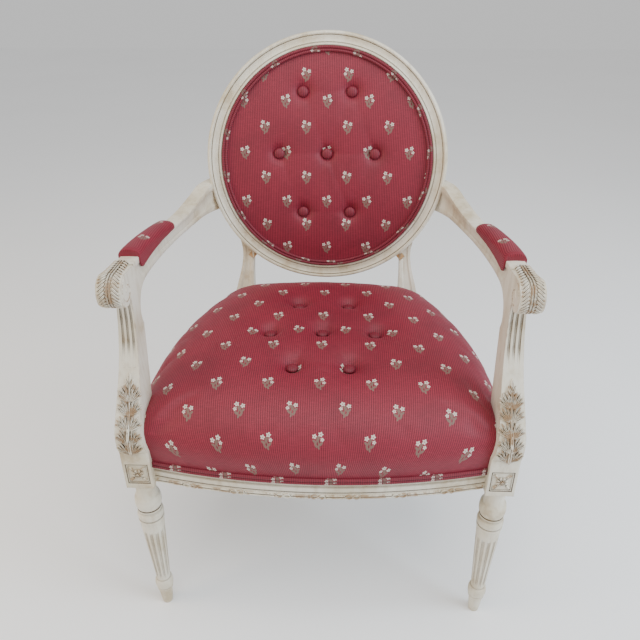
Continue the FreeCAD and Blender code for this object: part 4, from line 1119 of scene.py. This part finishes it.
def choose_panel(obj, normal):
    """Select the face of the die that lies in the middle of its panel, on one side."""
    mesh = bmesh.from_edit_mesh(obj.data)
    bpy.ops.mesh.select_all(action="DESELECT")
    aim = normal * (die_half * MM) + Vector((0, 0, panel_middle - die_middle)) * MM
    facing_out = [face for face in mesh.faces if face.normal.dot(normal) > 0.9]
    nearest = min(facing_out, key=lambda face: (face.calc_center_median() - aim).length)
    nearest.select_set(True)
    bmesh.update_edit_mesh(obj.data)


def petal_pattern(name="petal", point=0.55, vein=0.25):
    """A small carved petal, 1 mm long, wide and high: a ball drawn to a point and veined."""
    deselect()
    bpy.ops.mesh.primitive_uv_sphere_add(segments=16, ring_count=10, radius=0.5 * MM)
    obj = named(name)
    for vert in open_mesh(obj).verts:
        along = vert.co.y / MM
        vert.co.x *= 1 - point * max(along, -0.2) * 1.6
        vert.co.z *= 1 - 0.3 * max(along, 0)
        if abs(vert.co.x) < 0.09 * MM and vert.co.z > 0:
            vert.co.z *= 1 - vein
    bmesh.update_edit_mesh(obj.data)
    close_mesh()
    return obj


def rosettes():
    """A daisy with a leaf in each corner, on the front and the outer side of the left die."""
    places = []
    up = Vector((0, 0, 1))
    for face, right in (((0, -1, 0), (1, 0, 0)), ((-1, 0, 0), (0, -1, 0))):
        face, right = Vector(face), Vector(right)
        centre = Vector((-leg_x, leg_y, panel_middle)) + face * (die_half - 0.9)
        for k in range(8):
            turn = 2 * math.pi * (k + 0.5) / 8
            way = right * math.cos(turn) + up * math.sin(turn)
            places.append(facing(centre + way * 5.6, face, -way, 8.8, 4.7, 6.4))
        for k in range(4):
            turn = math.pi * (k + 0.5) / 2
            way = right * math.cos(turn) + up * math.sin(turn) * 1.12
            for lean in (-0.34, 0, 0.34):
                side = right * math.cos(turn + lean) + up * math.sin(turn + lean)
                place = centre + way * 13.6 + side * 0.8
                places.append(facing(place, face, side, 9.6, 3.6, 5.0))
        places.append(facing(centre + face * 1.6, face, up, 5.0, 5.0, 5.4))
    return carved(petal_pattern(), places, "die_rosettes_left")


def arm_wood():
    """The left arm with the moulding along its inner side and softened arrises."""
    rings = []
    wide = arm_width
    for step in range(arm_steps + 1):
        y = arm_rear_y - (arm_rear_y - arm_front_y) * step / arm_steps
        here, across, top, low = arm_station(y)
        tall = top - low
        section = [
            (0.6, 0), (0, 0.8), (0, tall * 0.2), (0.8, tall * 0.24), (2.2, tall * 0.28),
            (2.2, tall * 0.5), (2.2, tall * 0.72), (0.8, tall * 0.76), (0, tall * 0.8),
            (0, tall - 1.4), (0.5, tall - 0.4), (1.6, tall), (wide / 2, tall + 0.5),
            (wide - 1.6, tall), (wide - 0.5, tall - 0.4), (wide, tall - 1.4),
            (wide + 0.4, tall * 0.5), (wide, 0.8), (wide - 0.6, 0),
        ]
        rings.append([here + across * a + Vector((0, 0, low + h)) for a, h in section])
    obj = drawn_out("arm_moulded_left", rings)
    # Cut off at the slanting joint with the support
    open_mesh(obj)
    joint = Vector((0, *arm_joint)) * MM
    slant = (0, -0.7071, -0.7071)
    bpy.ops.mesh.bisect(plane_co=joint, plane_no=slant, clear_outer=True, use_fill=True)
    close_mesh()
    return obj


def medallion_piece(name, low, high):
    """A stretch of the medallion between two angles."""
    count = round((high - low) / medallion_step)
    angles = [low + (high - low) * step / count for step in range(count + 1)]
    rings = [[oval_place(angle, out, n) for out, n in medallion_section] for angle in angles]
    return drawn_out(name, rings)


def rail_ribbon():
    """Reeds wound with a ribbon along the lower band of the bowed rail, in small crossed knots."""
    bow = front_bow_radius + 0.2

    def on_rail(x, z, proud=0.0):
        turn = math.asin(x / bow)
        place = Vector((x, front_bow_y - (bow + proud) * math.cos(turn), z))
        return place, Vector((math.sin(turn), -math.cos(turn), 0)), (0, 0, 1)

    pieces = []
    edges = [-ribbon_end]
    for knot in ribbon_knots:
        edges += [knot - knot_half, knot + knot_half]
    edges.append(ribbon_end)
    for start, end in zip(edges[::2], edges[1::2]):
        steps = max(3, round((end - start) / 8))
        along = [start + (end - start) * k / steps for k in range(steps + 1)]
        for lift in (-2.2, 2.2):
            pieces.append(tube("reed", [on_rail(x, rail_band_z + lift) for x in along], 1.8, 8))
    for knot in ribbon_knots:
        for way in (-1, 1):
            path = []
            for k in range(15):
                t = k / 14 * 2 - 1
                z = rail_band_z + way * 3.6 * math.sin(t * math.pi)
                path.append(on_rail(knot + 12 * t, z, 0.5))
            pieces.append(tube("ribbon", path, 1.6, 8))
    return joined(pieces, "rail_ribbon")


def acanthus():
    """A tall leaf up the front of the left support: a ribbed stem, fans of lobes, a trefoil tip."""
    places = []

    def centre_x(z):
        return -297.6 - (z - 400) / 115 * 2.0

    def strand(x, z, lean, long, wide, tall, proud=1.3):
        way = Vector((math.sin(lean), 0, math.cos(lean)))
        x, _, z = Vector((x, 0, z)) + way * (long / 2)
        slope = (support_front(z + 2) - support_front(z - 2)) / 4
        out = Vector((0, -1, slope)).normalized()
        here = Vector((x, support_front(z), z)) + out * proud
        places.append(facing(here, out, way, long, wide, tall))

    for z, long, wide in ((394, 52, 6.8), (418, 52, 6.2), (442, 50, 5.6), (466, 46, 4.8)):
        strand(centre_x(z), z, 0, long, wide, 8.0, 1.2)
    for z, half in ((394, 17.0), (413, 16.6), (432, 16.0), (451, 15.0), (469, 13.6)):
        for side in (-1, 1):
            for k in range(4):
                lean = side * (0.14 + 0.27 * k)
                long = min(32 - 2.6 * k, half / max(abs(math.sin(lean)), 0.3) + 4)
                strand(centre_x(z) + side * 2.0, z + 1.2 * k, lean, long, 5.2, 7.4)
    for side in (-1, 1):
        strand(centre_x(488) + side * 1.6, 484, side * 0.55, 16, 5.6, 5.6)
        strand(centre_x(488) + side * 1.2, 490, side * 0.26, 17, 5.0, 5.6)
    strand(centre_x(500), 496, 0, 21, 6.6, 6.4, 0.7)
    return carved(petal_pattern("lobe", 0.42, 0.3), places, "acanthus_leaf_left")


def scroll_carving():
    """The rolled leaf over the left arm's end: a double rib with slanting flutes on each side."""
    places = []
    cy, cz = scroll_centre
    middle_x = (arm_inner_x + scroll_outer_x) / 2
    stations = []
    for k in range(6):  # along the flat top, widening
        place = Vector((0, -186 - 8.4 * k, 678.2 + 2.4 * k / 5))
        stations.append((place, Vector((0, 0, 1)), Vector((0, -1, 0)), 0.74 + 0.04 * k))
    for k in range(13):  # round the roll
        turn = math.radians(92 + 13 * k)
        out = Vector((0, math.cos(turn), math.sin(turn)))
        ahead = Vector((0, -math.sin(turn), math.cos(turn)))
        stations.append((Vector((0, cy, cz)) + out * scroll_radius, out, ahead, 1.0))
    for place, out, ahead, share in stations:
        for side in (-1, 1):
            rib = place + Vector((middle_x + side * 2.0, 0, 0)) + out * 0.3
            places.append(facing(rib, out, ahead, 13, 3.3, 5.2))
            flute = place + Vector((middle_x + side * 10.6 * share, 0, 0)) - out * 0.2
            way = ahead * 0.85 + Vector((side * 0.8, 0, 0))
            places.append(facing(flute, out, way, 18 * share, 4.9, 6.6))
    return carved(petal_pattern("gadroon", 0.3, 0.2), places, "scroll_leaf_left")


def volute():
    """The hook of the volute on the scroll's inner cheek, as a fine fillet."""
    cy, cz = scroll_centre
    path = []
    for k in range(60):
        turn = math.radians(95 + 7.4 * k)
        reach = 20.5 - 15.0 * (k / 59) ** 1.1
        y = cy + 4 * k / 59 + reach * math.cos(turn)
        z = cz - 5 * k / 59 + reach * math.sin(turn)
        out = Vector((0, math.cos(turn), math.sin(turn)))
        path.append((Vector((arm_inner_x + 0.1, y, z)), out, (1, 0, 0)))
    return tube("volute_left", path, 0.9, 8)


# The upholstery
seat = plumped(seat_cushion(), seat_held, 5.0, 3.0)
finished(seat, seat_cloth, "sprigged_fabric", "seat_cover", "seat_stuffing", degrees=60)
back = plumped(back_cushion(), back_held, 3.0, 3.0)
finished(back, cloth, "sprigged_fabric", "back_cover", "back_stuffing", degrees=60)
buttons()
pad_nodes = ("arm_pad_cover", "arm_pad_stuffing")
for pad in pair(arm_pad(), cloth, "sprigged_fabric", *pad_nodes, degrees=60):
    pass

cords = [seat_welt_cord("seat_cord_lower", 0.0), seat_welt_cord("seat_cord_upper", welt_gap)]
welt = joined(cords, "seat_double_welt")
finished(welt, shaded_button_cloth, "sprigged_fabric", "seat_welt", degrees=60)
cords = [oval_cord("back_cord_outer", -3.0, 1.0, 2.9)]
cords.append(oval_cord("back_cord_inner", -8.7, 1.0, 2.9, (20, 10)))
welt = joined(cords, "back_double_welt")
finished(welt, shaded_button_cloth, "sprigged_fabric", "back_welt", degrees=60)
welt = oval_cord("outer_back_cord", -3.9, -34.6, 2.6)
finished(welt, shaded_button_cloth, "sprigged_fabric", "outer_back_welt", degrees=60)

outer_back = finished(outer_back_cloth(), black_cloth, "black_cloth", "outer_back_cover")
dust = finished(dust_cloth(), black_cloth, "black_cloth", "dust_cover")
plan = seat_outline(-6)
span = sum(a[0] * b[1] - b[0] * a[1] for a, b in zip(plan, plan[1:] + plan[:1])) / 2
wide = 2 * max(x for x, y in plan)
deep = max(y for x, y in plan) - min(y for x, y in plan)
flat, area = (wide * MM, deep * MM), abs(span) * MM * MM

# The show-wood
pair(front_leg(), paint, "painted_wood", "front_leg", degrees=40)
pair(rosettes(), paint, "painted_wood", degrees=60)
pair(arm_wood(), paint, "painted_wood", "arm", degrees=40)
stretches = (("top", 38, 142), ("left", 142, 212), ("bottom", 212, 328), ("right", 328, 398))
for part, low, high in stretches:
    piece = medallion_piece("medallion_" + part, low, high)
    finished(piece, paint, "painted_wood", "back_frame_" + part, degrees=45)
finished(rail_ribbon(), paint, "painted_wood", degrees=60)
pair(acanthus(), paint, "painted_wood", degrees=60)
pair(scroll_carving(), paint, "painted_wood", degrees=60)
pair(volute(), paint, "painted_wood", degrees=60)

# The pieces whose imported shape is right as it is


def both(part):
    return part + "_left", part + "_right"


painted = ("front_rail", "rear_rail", *both("side_rail"), *both("rear_leg"), *both("arm_support"))
bare = ("arm_tenons", "back_frame_tenons", "stile_tenons")
bare += (*both("front_corner_block"), *both("rear_corner_block"))
webbing = ("seat_webbing_lengthwise", "seat_webbing_crosswise", "back_webbing")
hessian = ("seat_hessian", "back_hessian")
for names, kind in ((painted, paint), (bare, beech), (webbing, jute), (hessian, burlap)):
    for name in names:
        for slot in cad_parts[name].material_slots:
            slot.material = kind

# Floor, light and camera
deselect()
bpy.ops.mesh.primitive_plane_add(size=14)
floor = named("floor")
floor.data.materials.append(floor_finish())


def lamp(name, place, aim, size, power, tint):
    deselect()
    bpy.ops.object.light_add(type="AREA", location=place)
    light = bpy.context.object
    light.name = name
    light.data.size = size
    light.data.energy = power
    light.data.color = tint
    light.rotation_euler = (Vector(aim) - Vector(place)).to_track_quat("-Z", "Y").to_euler()


lamp("window", (2.3, -0.9, 1.5), (0, 0, 0.5), 1.5, 64, (0.74, 0.87, 1.0))
lamp("overhead", (0.1, -0.9, 2.6), (0, 0, 0.4), 2.0, 44, (1.0, 0.99, 0.97))
lamp("lamp_left", (-2.2, -0.7, 1.2), (0, 0, 0.5), 1.2, 24, (1.0, 0.80, 0.55))
world = bpy.data.worlds.new("studio")
world.use_nodes = True
sky = world.node_tree.nodes["Background"].inputs
sky["Color"].default_value = (1, 1, 1, 1)
sky["Strength"].default_value = 0.7
bpy.context.scene.world = world

camera_place = (0.030, -1.052, 1.098)
yaw, pitch, roll = math.radians(-2.02), math.radians(30.86), math.radians(-0.20)
level = math.cos(pitch)
ahead = Vector((math.sin(yaw) * level, math.cos(yaw) * level, -math.sin(pitch)))
right = Vector((math.cos(yaw), -math.sin(yaw), 0))
up = right.cross(ahead)
view_right = right * math.cos(roll) + up * math.sin(roll)
view_up = up * math.cos(roll) - right * math.sin(roll)
camera = bpy.data.objects.new("camera", bpy.data.cameras.new("camera"))
bpy.context.collection.objects.link(camera)
camera.data.sensor_width = 36.0
camera.data.lens = 35.72
turned = Matrix((view_right, view_up, -ahead)).transposed().to_4x4()
camera.matrix_world = Matrix.Translation(camera_place) @ turned
bpy.context.scene.camera = camera
